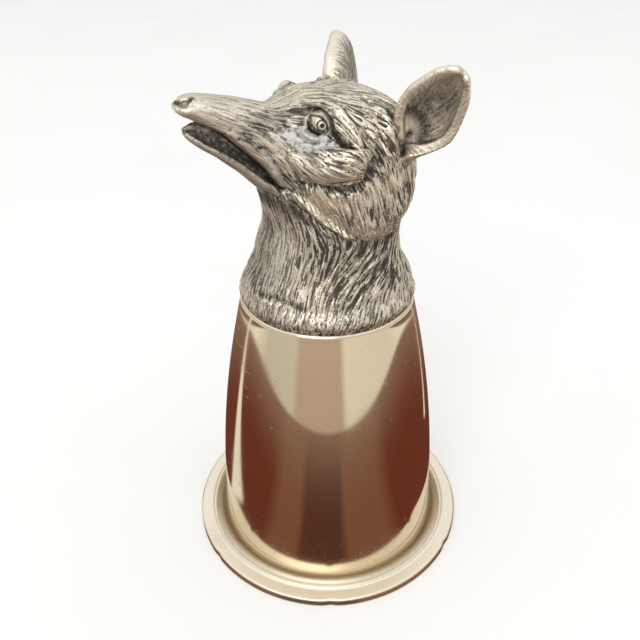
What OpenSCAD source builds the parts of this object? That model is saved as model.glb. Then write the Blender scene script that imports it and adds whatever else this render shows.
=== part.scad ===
// Stirrup cup: a spun cup that stands on its wide lip, crowned by a cast fox head.
// Z = 0 is the table the lip rests on, the cup's axis is Z, and the fox looks along -Y.

/* [Cup] */
// Outer diameter of the lip
lip_d = 90; // [86:0.5:110]
// Outer diameter of the wall above the cove
wall_d = 71; // [66:0.5:75]
// Outer diameter of the crown that carries the head
crown_d = 51; // [48:0.5:56]
// Height of the crown above the table
cup_h = 85.5; // [70:0.5:110]
// Thickness of the spun sheet
sheet = 1.2; // [0.8:0.1:1.8]
// Radius of the cove between wall and lip
cove_r = 2.6; // [1.5:0.1:4]
// How far the wall flares out above the cove
flare = 1.6; // [0.4:0.1:2.4]
// Height of that flare
flare_h = 14; // [8:0.5:24]
// Rounding of the crown's edge
crown_round = 1.2; // [0.6:0.1:3]

/* [Lip band] */
// Height of the applied band above the table
band_h = 2.6; // [2.2:0.1:4]
// Thickness of the band's skirt around the flange
skirt = 0.7; // [0.4:0.1:1.2]
// Diameter of the bead along the band's inner edge
bead_d = 1; // [0.6:0.1:1.4]
// Rounding of the lip's outer edge
lip_round = 0.8; // [0.3:0.1:1.2]

/* [Fixing] */
// Diameter of the fixing screw
screw_d = 5; // [4:0.5:6]
// Diameter of the screw's domed head
screw_head_d = 12; // [9:0.5:16]
// Height of the screw's domed head
screw_head_h = 3.2; // [2.5:0.1:5]
// Width of the driver slot
slot_w = 1.2; // [0.8:0.1:2]
// Depth of the driver slot
slot_deep = 1.2; // [0.6:0.1:2]
// Diameter of the sealing washer
washer_d = 16; // [13:0.5:20]
// Thickness of the sealing washer
washer_t = 1; // [0.6:0.1:2]
// Diameter of the plate in the foot of the neck
plate_d = 34; // [28:0.5:38]
// Thickness of that plate
plate_t = 3; // [2:0.1:4]
// Diameter of the plate's tapped boss
boss_d = 11; // [9:0.5:14]
// Height of the boss above the plate
boss_h = 7; // [5:0.5:10]
// Room around the screw in the plain holes
screw_room = 0.25; // [0.1:0.05:0.5]
// Room around the screw in the tapped boss
thread_room = 0.1; // [0.05:0.05:0.2]

/* [Neck] */
// How far the fur roll at the foot of the neck swells past its foot
roll = 1.1; // [0.6:0.1:2]
// Height of the fur roll
roll_h = 5.2; // [4:0.1:7]
// Width of the neck, side to side
neck_w = 39; // [36:0.5:42]
// Depth of the neck, front to back
neck_deep = 40; // [37:0.5:43]
// Height of the neck above the crown, up into the throat
neck_h = 36; // [32:0.5:40]
// Diameter of the bore inside the neck
bore_d = 31; // [24:0.5:32]
// Height of the bore's round end above the crown
bore_h = 40; // [30:1:44]

/* [Head] */
// Reach of the nose in front of the axis
head_front = 38.4; // [36:0.2:43]
// Reach of the back of the head behind the axis
head_back = 22; // [20:0.2:25]
// Length of the muzzle from the stop to the nose
muzzle_l = 24; // [20:0.2:27]
// Height of the skull above the crown
head_top = 58; // [54:0.5:64]
// Height of the ruff's lower edge above the crown
ruff_z = 22; // [20:0.1:25]
// Width across the ruff
ruff_w = 45; // [41:0.5:50]
// Width of the muzzle where the lips end
muzzle_w = 20; // [17:0.5:23]
// Width of the nose
nose_w = 8.6; // [7:0.2:11]
// Thickness of the brow ridges
brow_d = 5; // [3:0.1:6]
// Thickness of the cheek tufts
tuft_d = 8; // [5:0.1:10]
// Diameter of the nostrils
nostril_d = 1.6; // [1:0.1:2.6]

/* [Jaw] */
// Opening of the mouth between the lips
gape = 5.6; // [4:0.1:7]
// Thickness of the jaw under the lips
jaw_t = 3.4; // [2.6:0.1:5]
// Depth of the trough in the jaw
trough = 1.3; // [0.4:0.1:1.8]

/* [Ears] */
// Length of an ear from its root to its tip
ear_l = 21.8; // [18:0.1:26]
// Width of an ear
ear_w = 16; // [12:0.5:19]
// Depth of an ear's cup
ear_cup = 5.4; // [4:0.1:8]
// Thickness of an ear
ear_t = 2; // [1.4:0.1:2.4]
// Turn of the ears from straight out towards the back
ear_back = 27; // [15:1:40]
// Rise of the ears above level
ear_rise = 48; // [30:1:60]
// Roll of the ears' open side towards the ground
ear_roll = 22; // [5:1:40]
// How far an ear's tip leans up from its straight line
ear_lean = 1.4; // [0:0.1:3]
// Depth of an ear's root in the head
ear_root = 4; // [3:0.1:6]
// Thickness of the fur mound in front of each ear
mound_d = 5.4; // [4:0.1:7]

/* [Eyes] */
// Diameter of the eye beads
eye_d = 6; // [4:0.1:7]
// How far an eye stands proud of its socket
eye_proud = 1; // [0.4:0.1:2]
// Diameter of the drilled pupil
pupil_d = 1.2; // [0.6:0.1:2]
// Depth of the drilled pupil
pupil_deep = 0.8; // [0.4:0.1:1.5]
// Turn of the eyes from straight out towards the nose
eye_front = 18; // [10:1:60]
// Turn of the eyes above level
eye_up = 8; // [0:1:30]

/* [Soldering] */
// Gap that the solder fills between cast pieces
solder = 0.2; // [0.1:0.05:0.4]

/* [Hidden] */
$fn = 96;

// Facets around and along the cast forms
head_sides = 36;
head_steps = 3;
neck_sides = 40;
neck_steps = 3;
jaw_sides = 32;
ear_sides = 12;
blob_fn = 16;
// How closely the wall's rows crowd towards the flare
flare_crowd = 1.7;
arc_steps = 18;

// Cup
lip_r = lip_d / 2;
wall_r = wall_d / 2;
crown_r = crown_d / 2;
crown_t = sheet;
crown_under = cup_h - crown_t;
// The cove takes at most half of the ledge between the flare and the lip
cove = min(cove_r, (lip_r - wall_r - flare) / 2);
flare_turn = atan(2 * flare / flare_h);
wall_foot = sheet + cove * (1 - sin(flare_turn));
wall_top = cup_h - crown_round;
wall_in = wall_r - crown_r;
wall_rise = wall_top - wall_foot;
// Radius of the wall's long curve, upright at its foot but for the flare
wall_curve = (wall_rise * wall_rise + wall_in * wall_in) / (2 * wall_in);
cove_z = sheet + cove;
band_in = wall_r + flare + cove * cos(flare_turn);
flange_r = lip_r - skirt - solder;
hole_r = screw_d / 2 + screw_room;

// Casting
foot_r = crown_r - crown_round;
pocket_r = plate_d / 2 + solder;
bore_end_d = bore_d * 2 / 3;
stop_y = muzzle_l - head_front;

// Least half width of the hollow in an ear's section
ear_core = 0.1;

// How far a cut runs past the face it opens
over = 1;

// Where the tongue rises across the jaw, as shares of its half width
tongue_from_share = 0.62;
tongue_slope_share = 0.3;

function mix(a, b, share) = a + (b - a) * share;
// Diameter of a faceted ball that clears a true ball all round
function around(d) = d / pow(cos(180 / blob_fn), 2);
function power(value, exponent) = sign(value) * pow(abs(value), exponent);

// Smooth curve through rows of numbers, where whole values of t are the rows themselves
function spline(rows, t) =
    let (last = len(rows) - 1)
    let (i = min(floor(t), last - 1))
    let (f = t - i)
    let (a = rows[max(i - 1, 0)])
    let (b = rows[i])
    let (c = rows[i + 1])
    let (d = rows[min(i + 2, last)])
    let (slope = (c - a) * f)
    let (bend = (2 * a - 5 * b + 4 * c - d) * f * f)
    let (twist = (3 * b - a - 3 * c + d) * f * f * f)
    (2 * b + slope + bend + twist) / 2;

// Closed skin over rings of equally many points
module skin(rings) {
    n = len(rings[0]);
    m = len(rings);
    points = [for (ring = rings) each ring];
    sides = [
        for (i = [0 : m - 2], j = [0 : n - 1])
            let (here = i * n + j)
            let (beside = i * n + (j + 1) % n)
            each [[here, beside + n, beside], [here, here + n, beside + n]]
    ];
    first_end = [for (j = [0 : n - 1]) j];
    last_end = [for (j = [n - 1 : -1 : 0]) (m - 1) * n + j];
    polyhedron(points, concat(sides, [first_end, last_end]));
}

// Joins its children into one cast skin at the sizes they have
module cast() {
    resize([0, 0, 0]) children();
}

// Neck: height, reach to the front, reach to the back and half width
function neck_z(share) = mix(roll_h, neck_h, share);
neck_rows = [
    [0, foot_r, foot_r, foot_r],
    [0.2 * roll_h, foot_r + 0.8 * roll, foot_r + 0.8 * roll, foot_r + 0.8 * roll],
    [0.5 * roll_h, foot_r + roll, foot_r + roll, foot_r + roll],
    [0.8 * roll_h, foot_r + 0.5 * roll, foot_r + 0.5 * roll, foot_r],
    [roll_h, foot_r, foot_r, foot_r * 0.942],
    [neck_z(0.081), foot_r * 0.988, foot_r * 0.988, foot_r * 0.918],
    [neck_z(0.237), neck_deep * 0.526, neck_deep * 0.53, neck_w * 0.531],
    [neck_z(0.399), neck_deep * 0.491, neck_deep * 0.505, neck_w * 0.503],
    [neck_z(0.545), neck_deep * 0.445, neck_deep * 0.515, neck_w * 0.5],
    [neck_z(0.675), neck_deep * 0.431, neck_deep * 0.52, neck_w * 0.5],
    [neck_z(0.854), neck_deep * 0.463, neck_deep * 0.475, neck_w * 0.436],
    [neck_h, neck_deep * 0.49, neck_deep * 0.425, neck_w * 0.397]
];

// Skull and muzzle from the back of the head to the nose: place, top, bottom,
// half width, height of the widest part, fullness above it and fullness below it
function skull_y(share) = mix(stop_y, head_back, share);
function muzzle_y(share) = mix(stop_y, -head_front, share);
function muzzle_half(share) = mix(nose_w / 2, muzzle_w / 2, share);
function level(share) = mix(ruff_z, head_top, share);
head_rows = [
    [head_back, level(0.528), level(0.333), ruff_w * 0.089, level(0.417), 2, 2],
    [skull_y(0.945), level(0.75), level(0.167), ruff_w * 0.27, level(0.389), 2.4, 2.4],
    [skull_y(0.8), level(0.911), level(0.083), ruff_w * 0.4, level(0.361), 3.2, 3.4],
    [skull_y(0.626), level(0.983), level(0.017), ruff_w * 0.48, level(0.333), 3, 4.4],
    [skull_y(0.412), level(1), level(0), ruff_w * 0.5, level(0.347), 2.6, 4.6],
    [skull_y(0.211), level(0.995), level(0.156), ruff_w * 0.415, level(0.444), 2.6, 4],
    [skull_y(0.091), level(0.955), level(0.283), ruff_w * 0.325, level(0.528), 2.6, 3.4],
    [stop_y, level(0.922), level(0.36), muzzle_half(1.35), level(0.597), 2.4, 3],
    [muzzle_y(0.11), level(0.932), level(0.415), muzzle_half(1.06), level(0.64), 2.3, 3.4],
    [muzzle_y(0.21), level(0.953), level(0.53), muzzle_half(0.86), level(0.71), 2.2, 4],
    [muzzle_y(0.42), level(0.989), level(0.675), muzzle_half(0.53), level(0.817), 2.2, 4],
    [muzzle_y(0.63), level(1.017), level(0.811), muzzle_half(0.28), level(0.889), 2.2, 4],
    [muzzle_y(0.82), level(1.036), level(0.88), muzzle_half(0.07), level(0.944), 2.2, 3],
    [muzzle_y(0.94), level(1.019), level(0.912), muzzle_half(-0.1), level(0.964), 2.2, 2.6],
    [-head_front, level(0.992), level(0.942), nose_w * 0.22, level(0.964), 2, 2]
];

// Point of a head row at a turn around it, 0 on the fox's left and 90 on top
function row_point(row, turn) =
    let (full = sin(turn) > 0 ? row[5] : row[6])
    let (reach = sin(turn) > 0 ? row[1] - row[4] : row[4] - row[2])
    [row[3] * power(cos(turn), 2 / full), row[0], row[4] + reach * power(sin(turn), 2 / full)];
function on_head(t, turn) = row_point(spline(head_rows, t), turn);

// Places on the head's skin: row and turn, and for the ridges their share of the thickness
eye_at = [5.2, 41.5];
ear_at = [2.41, 25];
brow_path = [[5.5, 70, 0.25], [4.85, 60, 0.6], [4.55, 50, 1], [4.25, 38, 0.9], [4.05, 22, 0.5]];
tuft_path = [[6.9, 6, 0.4], [6, 5, 0.8], [5.2, 11, 1], [4.5, 17, 0.95], [4.1, 23, 0.5]];
mound_path = [[3.5, 64, 0.5], [3.25, 50, 0.85], [3.2, 36, 0.95], [3.25, 22, 0.7], [3.3, 10, 0.2]];
nostril_at = [12.9, 38];

// Lower jaw: head row it lies under, share of the gape, share of the thickness,
// half width and share of the gape that the tongue fills
jaw_rows = [
    [6.9, 0.24, 0.9, muzzle_w * 0.36, 1],
    [8.25, 0.16, 1.05, muzzle_w * 0.43, 1],
    [9.2, 0.54, 1.05, muzzle_w * 0.41, 1],
    [10, 0.6, 0.95, muzzle_w * 0.35, 1],
    [10.7, 0.79, 0.82, muzzle_w * 0.3, 1],
    [11.55, 0.87, 0.6, nose_w * 0.54, 1],
    [12.4, 0.71, 0.55, nose_w * 0.4, 0.6],
    [13, 0.52, 0.5, nose_w * 0.2, 0]
];

// Ear: place along its length, half width, depth, wall and half opening of its section
ear_rows = [
    [-ear_root, ear_w * 0.27, ear_cup * 0.77, ear_t * 1.8, 150],
    [0, ear_w * 0.31, ear_cup * 0.83, ear_t * 1.9, 150],
    [ear_l * 0.14, ear_w * 0.39, ear_cup * 0.9, ear_t * 1.3, 125],
    [ear_l * 0.38, ear_w * 0.49, ear_cup, ear_t, 105],
    [ear_l * 0.62, ear_w * 0.42, ear_cup * 0.9, ear_t, 95],
    [ear_l * 0.84, ear_w * 0.31, ear_cup * 0.79, ear_t, 90],
    [ear_l * 0.96, ear_w * 0.18, ear_cup * 0.54, ear_t * 0.8, 90],
    [ear_l, ear_w * 0.105, ear_cup * 0.35, ear_t * 0.5, 90]
];

// Round stretch of an outline, without the point it starts from
function arc(center, r, from, to) =
    [
        for (i = [1 : arc_steps])
            let (turn = mix(from, to, i / arc_steps))
            center + r * [cos(turn), sin(turn)]
    ];

// Wall from the cove up to the crown, moved in by a thickness, without its lowest point
function wall_line(thick) = [
    for (i = [1 : arc_steps])
        let (z = wall_rise * pow(i / arc_steps, flare_crowd))
        let (swell = wall_r - wall_curve + sqrt(wall_curve * wall_curve - z * z))
        [swell + flare * pow(max(1 - z / flare_h, 0), 2) - thick, wall_foot + z]
];
function reversed(list) = [for (i = [len(list) - 1 : -1 : 0]) list[i]];

// Spun cup: flange, cove, curved wall and flat crown in one sheet
module beaker() {
    cove_at = [band_in, cove_z];
    outside = concat(
        [[flange_r, 0], [flange_r, sheet], [band_in, sheet]],
        arc(cove_at, cove, 270, 180 + flare_turn),
        wall_line(0),
        arc([foot_r, wall_top], crown_round, 0, 90)
    );
    inside = concat(
        [[band_in, 0]],
        arc(cove_at, cove + sheet, 270, 180 + flare_turn),
        [for (p = wall_line(sheet)) if (p[1] < crown_under) p],
        [[crown_r - sheet, crown_under]]
    );
    hole = [[hole_r, cup_h], [hole_r, crown_under]];
    color("Silver")
        rotate_extrude()
            polygon(concat(outside, hole, reversed(inside)));
}

// Band soldered on the flange, with a bead inside and a skirt around the flange's edge
module lip_band() {
    skirt_in = lip_r - skirt;
    color("Gainsboro")
        rotate_extrude()
            polygon(concat(
                [[skirt_in, sheet], [skirt_in, 0], [lip_r, 0], [lip_r, band_h - lip_round]],
                arc([lip_r - lip_round, band_h - lip_round], lip_round, 0, 90),
                [[band_in + bead_d, band_h]],
                arc([band_in + bead_d / 2, band_h], bead_d / 2, 0, 180),
                [[band_in, sheet]]
            ));
}

// Washer that seals the screw hole inside the cup
module sealing_washer() {
    color("DarkKhaki")
        translate([0, 0, crown_under - washer_t])
            difference() {
                cylinder(d = washer_d, h = washer_t);
                translate([0, 0, -over])
                    cylinder(r = hole_r, h = washer_t + 2 * over);
            }
}

// Screw that pulls the head down on the cup from inside
module fixing_screw() {
    seat_z = crown_under - washer_t;
    shank_l = cup_h + plate_t + boss_h - seat_z;
    dome = [
        for (i = [0 : arc_steps])
            let (turn = 90 * i / arc_steps)
            [cos(turn) * screw_head_d / 2, -sin(turn) * screw_head_h]
    ];
    color("DarkGoldenrod")
        translate([0, 0, seat_z]) {
            difference() {
                rotate_extrude()
                    polygon(concat([[0, 0]], dome));
                translate([-screw_head_d, -slot_w / 2, -screw_head_h - over])
                    cube([2 * screw_head_d, slot_w, slot_deep + over]);
            }
            cylinder(d = screw_d, h = shank_l);
        }
}

// Plate that closes the foot of the neck and takes the screw
module neck_plate() {
    color("Goldenrod")
        translate([0, 0, cup_h])
            difference() {
                union() {
                    cylinder(d = plate_d, h = plate_t);
                    cylinder(d = boss_d, h = plate_t + boss_h);
                }
                translate([0, 0, -over])
                    cylinder(d = screw_d + 2 * thread_room, h = plate_t + boss_h + 2 * over);
            }
}

// Neck with its fur roll, up into the throat
module neck_form() {
    steps = (len(neck_rows) - 1) * neck_steps;
    skin([
        for (i = [0 : steps])
            let (row = spline(neck_rows, i / neck_steps))
            [
                for (j = [0 : neck_sides - 1])
                    let (turn = 360 * j / neck_sides)
                    [row[3] * cos(turn), (sin(turn) > 0 ? row[2] : row[1]) * sin(turn), row[0]]
            ]
    ]);
}

// Skull, ruff and upper muzzle
module head_form() {
    steps = (len(head_rows) - 1) * head_steps;
    skin([
        for (i = [0 : steps])
            [for (j = [0 : head_sides - 1]) on_head(i / head_steps, 360 * j / head_sides)]
    ]);
}

// Ridge of fur laid on the head's skin along a path
module ridge(path, thick) {
    for (i = [0 : len(path) - 2])
        hull()
            for (k = [i, i + 1])
                translate(on_head(path[k][0], path[k][1]))
                    sphere(d = thick * path[k][2], $fn = blob_fn);
}

module both_sides() {
    children();
    mirror([1, 0, 0])
        children();
}

// Head with neck, cut out for the pieces soldered into it
module head_casting() {
    color("DarkGray")
        translate([0, 0, cup_h])
            cast()
                difference() {
                    union() {
                        neck_form();
                        head_form();
                        both_sides() {
                            ridge(brow_path, brow_d);
                            ridge(tuft_path, tuft_d);
                            ridge(mound_path, mound_d);
                        }
                    }
                    translate([0, 0, -over])
                        cylinder(r = pocket_r, h = plate_t + over);
                    hull() {
                        cylinder(d = bore_d, h = bore_h / 2, $fn = neck_sides);
                        translate([0, 0, bore_h - bore_end_d / 2])
                            sphere(d = bore_end_d, $fn = blob_fn);
                    }
                    jaw_form(solder);
                    both_sides() {
                        ear_place()
                            ear_form(solder);
                        eye_place()
                            sphere(d = around(eye_d + 2 * solder), $fn = blob_fn);
                        translate(on_head(nostril_at[0], nostril_at[1]))
                            sphere(d = nostril_d, $fn = blob_fn);
                    }
                }
}

// Height of the jaw's upper side above its lip, from the lip (across = 1) to the middle (0)
function jaw_top(across, dip, fill) =
    let (rise = min(max((tongue_from_share - across) / tongue_slope_share, 0), 1))
    let (hollow = min((1 - across) / (1 - tongue_from_share), 1))
    mix(-dip * hollow, fill, rise * rise * (3 - 2 * rise));

// Jaw with its lips and tongue under the muzzle, made larger all round by grow
module jaw_form(grow = 0) {
    last = len(jaw_rows) - 1;
    steps = last * head_steps;
    skin([
        for (i = [0 : steps])
            let (row = spline(jaw_rows, i / head_steps))
            let (above = spline(head_rows, row[0]))
            let (y = above[0] + (i == 0 ? grow : 0) - (i == steps ? grow : 0))
            let (open = gape * row[1])
            let (thick = jaw_t * row[2])
            let (fill = max(open * min(row[4], 1) - solder, 0))
            [
                for (j = [0 : jaw_sides - 1])
                    let (c = cos(360 * j / jaw_sides))
                    let (s = sin(360 * j / jaw_sides))
                    let (upper = grow + jaw_top(abs(c), min(trough, thick / 2), fill))
                    let (z = s > 0 ? upper : (thick + grow) * s)
                    [(row[3] + grow) * c, y, above[2] - open + z]
            ]
    ]);
}

module lower_jaw() {
    color("Gray")
        translate([0, 0, cup_h])
            jaw_form();
}

// Ear along +Z from its root, open towards -Y, made larger all round by grow
module ear_form(grow = 0) {
    steps = (len(ear_rows) - 1) * head_steps;
    skin([
        for (i = [0 : steps])
            let (row = spline(ear_rows, i / head_steps))
            let (z = row[0] - (i == 0 ? grow : 0))
            let (inner = row[3] + grow)
            let (lean = -ear_lean * pow(max(row[0], 0) / ear_l, 2))
            concat(
                [
                    for (j = [0 : ear_sides])
                        let (turn = row[4] * (1 - 2 * j / ear_sides))
                        [(row[1] + grow) * sin(turn) + lean, (row[2] + grow) * cos(turn), z]
                ],
                [
                    for (j = [0 : ear_sides])
                        let (turn = row[4] * (2 * j / ear_sides - 1))
                        let (half_w = max(row[1] - inner, ear_core))
                        let (deep = max(row[2] - inner, ear_core))
                        [half_w * sin(turn) + lean, deep * cos(turn), z]
                ]
            )
    ]);
}

module ear_place() {
    translate(on_head(ear_at[0], ear_at[1]))
        rotate([0, 90 - ear_rise, ear_back])
            rotate([0, 0, ear_roll])
                children();
}

module left_ear() {
    color("DarkGray")
        translate([0, 0, cup_h])
            ear_place()
                cast()
                    ear_form();
}

module right_ear() {
    color("DarkGray")
        mirror([1, 0, 0])
            left_ear();
}

// Eye bead along +X with its drilled pupil
module eye_bead() {
    difference() {
        sphere(d = eye_d);
        translate([eye_d / 2 - pupil_deep, 0, 0])
            rotate([0, 90, 0])
                cylinder(d = pupil_d, h = eye_d);
    }
}

module eye_place() {
    translate(on_head(eye_at[0], eye_at[1]))
        rotate([0, -eye_up, -eye_front])
            translate([eye_proud - eye_d / 2, 0, 0])
                children();
}

module left_eye() {
    color("LightGoldenrodYellow")
        translate([0, 0, cup_h])
            eye_place()
                eye_bead();
}

module right_eye() {
    color("LightGoldenrodYellow")
        mirror([1, 0, 0])
            left_eye();
}

beaker();
lip_band();
sealing_washer();
fixing_screw();
neck_plate();
head_casting();
lower_jaw();
left_ear();
right_ear();
left_eye();
right_eye();
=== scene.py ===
"""Looks of a stirrup cup: a polished spun cup on its wide lip, crowned by a cast fox head."""

import logging
import math
from dataclasses import dataclass, field
from enum import Enum
from functools import cache
from typing import Callable, Sequence

import bpy
import numpy as np
from mathutils import Matrix, Vector
from mathutils.bvhtree import BVHTree
from mathutils.kdtree import KDTree


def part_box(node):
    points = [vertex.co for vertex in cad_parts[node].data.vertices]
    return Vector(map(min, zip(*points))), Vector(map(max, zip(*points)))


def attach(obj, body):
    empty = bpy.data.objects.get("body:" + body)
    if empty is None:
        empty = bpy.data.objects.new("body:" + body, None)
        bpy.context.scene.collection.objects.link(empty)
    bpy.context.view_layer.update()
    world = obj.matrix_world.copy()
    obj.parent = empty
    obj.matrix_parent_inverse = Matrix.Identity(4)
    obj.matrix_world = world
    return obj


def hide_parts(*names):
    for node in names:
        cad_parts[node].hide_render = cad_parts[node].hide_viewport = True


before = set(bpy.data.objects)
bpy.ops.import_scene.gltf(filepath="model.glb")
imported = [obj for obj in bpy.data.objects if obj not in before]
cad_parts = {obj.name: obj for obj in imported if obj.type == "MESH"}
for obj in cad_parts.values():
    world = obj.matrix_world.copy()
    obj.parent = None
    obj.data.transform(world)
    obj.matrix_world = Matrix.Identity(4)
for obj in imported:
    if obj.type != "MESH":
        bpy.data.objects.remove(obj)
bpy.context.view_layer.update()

MM = 0.001
BODY = "root"
log = logging.getLogger("stirrup_cup")

Array = np.ndarray
Color = tuple[float, float, float]
Point = tuple[float, float, float]
Path = Sequence[Point]
Socket = bpy.types.NodeSocket


class Slot(Enum):
    """Slots of the new pieces."""

    CUP = "cup_plate"
    LIP = "lip_plate"
    FUR = "cast_fur"
    EYE = "eye_bead"


class Grain(Enum):
    """Point attributes of the casting, read by its finish."""

    GROOVE = "groove"
    # hollow: tarnished recesses plus painted shade; below zero it paints highlights
    HOLLOW = "hollow"
    WORN = "worn"
    BOLD = "bold"
    COOL = "cool"
    WAY = "way"


def rgba(color: Color) -> tuple[float, float, float, float]:
    """Colour with a full alpha."""
    return (*color, 1.0)


def smoothstep(low: float, high: float, value: Array) -> Array:
    """Soft step from 0 at low to 1 at high.

    Args:
        low: value where the step starts.
        high: value where the step ends.
        value: values to map.

    Returns:
        The mapped values.
    """
    share = np.clip((value - low) / (high - low), 0.0, 1.0)
    return share * share * (3.0 - 2.0 * share)


class Sketch:
    """Short way to place and link nodes in one shader tree."""

    def __init__(self, tree: bpy.types.NodeTree) -> None:
        """Keeps the tree and starts its node column at the left."""
        self.tree = tree
        self.column = 0

    def node(self, kind: str, **settings: object) -> bpy.types.Node:
        """Places a node.

        Args:
            kind: the node's type name without the ShaderNode prefix.
            settings: properties set on the node.

        Returns:
            The new node.
        """
        made = self.tree.nodes.new("ShaderNode" + kind)
        made.location = (self.column * 180, 0)
        self.column += 1
        for name, value in settings.items():
            setattr(made, name, value)
        return made

    def feed(self, into: Socket, value: object) -> None:
        """Links a socket, or sets a plain value, on an input."""
        if isinstance(value, bpy.types.NodeSocket):
            self.tree.links.new(value, into)
        else:
            into.default_value = value

    def math(self, operation: str, first: object, second: object = 0.0) -> Socket:
        """Arithmetic on two values.

        Args:
            operation: the Math node's operation.
            first: value or socket.
            second: value or socket.

        Returns:
            The result's socket.
        """
        made = self.node("Math", operation=operation)
        self.feed(made.inputs[0], first)
        self.feed(made.inputs[1], second)
        return made.outputs[0]

    def times(self, first: object, second: object) -> Socket:
        """Product of two values."""
        return self.math("MULTIPLY", first, second)

    def plus(self, first: object, second: object) -> Socket:
        """Sum of two values."""
        return self.math("ADD", first, second)

    def minus(self, first: object, second: object) -> Socket:
        """First value less the second."""
        return self.math("SUBTRACT", first, second)

    def most(self, first: object, second: object) -> Socket:
        """Larger of two values."""
        return self.math("MAXIMUM", first, second)

    def step(self, value: object, low: float, high: float) -> Socket:
        """Soft step of a value.

        Args:
            value: socket to map.
            low: value mapped to 0.
            high: value mapped to 1.

        Returns:
            The mapped value's socket.
        """
        made = self.node("MapRange", interpolation_type="SMOOTHSTEP")
        self.feed(made.inputs["Value"], value)
        self.feed(made.inputs["From Min"], low)
        self.feed(made.inputs["From Max"], high)
        return made.outputs["Result"]

    def span(self, value: object, low: float, high: float) -> Socket:
        """Straight map of 0 to 1 onto low to high.

        Args:
            value: socket to map.
            low: result at 0.
            high: result at 1.

        Returns:
            The mapped value's socket.
        """
        made = self.node("MapRange")
        self.feed(made.inputs["Value"], value)
        self.feed(made.inputs["To Min"], low)
        self.feed(made.inputs["To Max"], high)
        return made.outputs["Result"]

    def blend(self, share: object, first: object, second: object) -> Socket:
        """Mix of two colours.

        Args:
            share: share of the second colour.
            first: colour or socket.
            second: colour or socket.

        Returns:
            The mixed colour's socket.
        """
        made = self.node("Mix", data_type="RGBA")
        self.feed(made.inputs[0], share)
        self.feed(made.inputs[6], first)
        self.feed(made.inputs[7], second)
        return made.outputs[2]

    def noise(self, place: Socket, scale: float, detail: float = 3.0) -> Socket:
        """Noise value.

        Args:
            place: coordinates.
            scale: cells per unit.
            detail: octaves.

        Returns:
            The noise value's socket.
        """
        made = self.node("TexNoise")
        self.feed(made.inputs["Vector"], place)
        made.inputs["Scale"].default_value = scale
        made.inputs["Detail"].default_value = detail
        return made.outputs["Fac"]

    def places(self, stretch: Point = (1.0, 1.0, 1.0), turn: Point = (0.0, 0.0, 0.0)) -> Socket:
        """Object coordinates, stretched and turned.

        Args:
            stretch: scale along each axis.
            turn: turn about each axis in radians.

        Returns:
            The coordinates' socket.
        """
        source = self.node("TexCoord")
        mapped = self.node("Mapping")
        self.feed(mapped.inputs["Vector"], source.outputs["Object"])
        mapped.inputs["Scale"].default_value = stretch
        mapped.inputs["Rotation"].default_value = turn
        return mapped.outputs["Vector"]

    def attribute(self, grain: Grain) -> Socket:
        """Value or direction of a point attribute."""
        made = self.node("Attribute", attribute_name=grain.value)
        return made.outputs["Vector" if grain is Grain.WAY else "Fac"]


def new_group(
    name: str, inputs: dict[str, float | Point], outputs: Sequence[str]
) -> tuple[Sketch, dict[str, Socket], dict[str, Socket]]:
    """Starts a node group with values as outputs.

    Args:
        name: the group's name.
        inputs: input names with their default values or directions.
        outputs: output names.

    Returns:
        The group's sketch, its inner input sockets and its inner output sockets by name.
    """
    tree = bpy.data.node_groups.new(name, "ShaderNodeTree")
    for label, value in inputs.items():
        kind = "NodeSocketVector" if isinstance(value, tuple) else "NodeSocketFloat"
        made = tree.interface.new_socket(label, in_out="INPUT", socket_type=kind)
        made.default_value = value
    for label in outputs:
        tree.interface.new_socket(label, in_out="OUTPUT", socket_type="NodeSocketFloat")
    sketch = Sketch(tree)
    entry = tree.nodes.new("NodeGroupInput")
    leave = tree.nodes.new("NodeGroupOutput")
    return sketch, {s.name: s for s in entry.outputs}, {s.name: s for s in leave.inputs}


def place_group(sketch: Sketch, group: bpy.types.NodeTree, **values: object) -> bpy.types.Node:
    """Places a node group in a tree.

    Args:
        sketch: the tree that takes it.
        group: the group.
        values: its inputs by name.

    Returns:
        The group's node.
    """
    made = sketch.node("Group", node_tree=group)
    for label, value in values.items():
        sketch.feed(made.inputs[label], value)
    return made


@cache
def handling_marks() -> bpy.types.NodeTree:
    """Smudges, fine scratches and specks of a handled metal surface.

    Returns:
        A group with the masks Smudge, Scratch and Speck.
    """
    sketch, given, out = new_group("Handling marks", {"Amount": 1.0}, ("Smudge", "Scratch", "Speck"))
    smudge_cells, speck_cells, rare_cells = 45.0, 210.0, 330.0
    runs = ((0.5, 60.0), (1.9, 90.0), (2.7, 70.0))
    slimness, lean = 14.0, 0.3
    smudge = sketch.step(sketch.noise(sketch.places(), smudge_cells, 4.0), 0.42, 0.68)
    scratches = None
    for angle, cells in runs:
        place = sketch.places((cells, cells * slimness, cells * slimness), (angle, lean, angle))
        thin = sketch.step(sketch.noise(place, 1.0, 1.0), 0.735, 0.77)
        scratches = thin if scratches is None else sketch.most(scratches, thin)
    specks = sketch.node("TexVoronoi")
    sketch.feed(specks.inputs["Vector"], sketch.places())
    specks.inputs["Scale"].default_value = speck_cells
    dots = sketch.minus(1.0, sketch.step(specks.outputs["Distance"], 0.05, 0.1))
    rare = sketch.step(sketch.noise(sketch.places(), rare_cells, 1.0), 0.62, 0.66)
    masks = {"Smudge": smudge, "Scratch": scratches, "Speck": sketch.times(dots, rare)}
    for label, value in masks.items():
        sketch.feed(out[label], sketch.times(value, given["Amount"]))
    return sketch.tree


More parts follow.
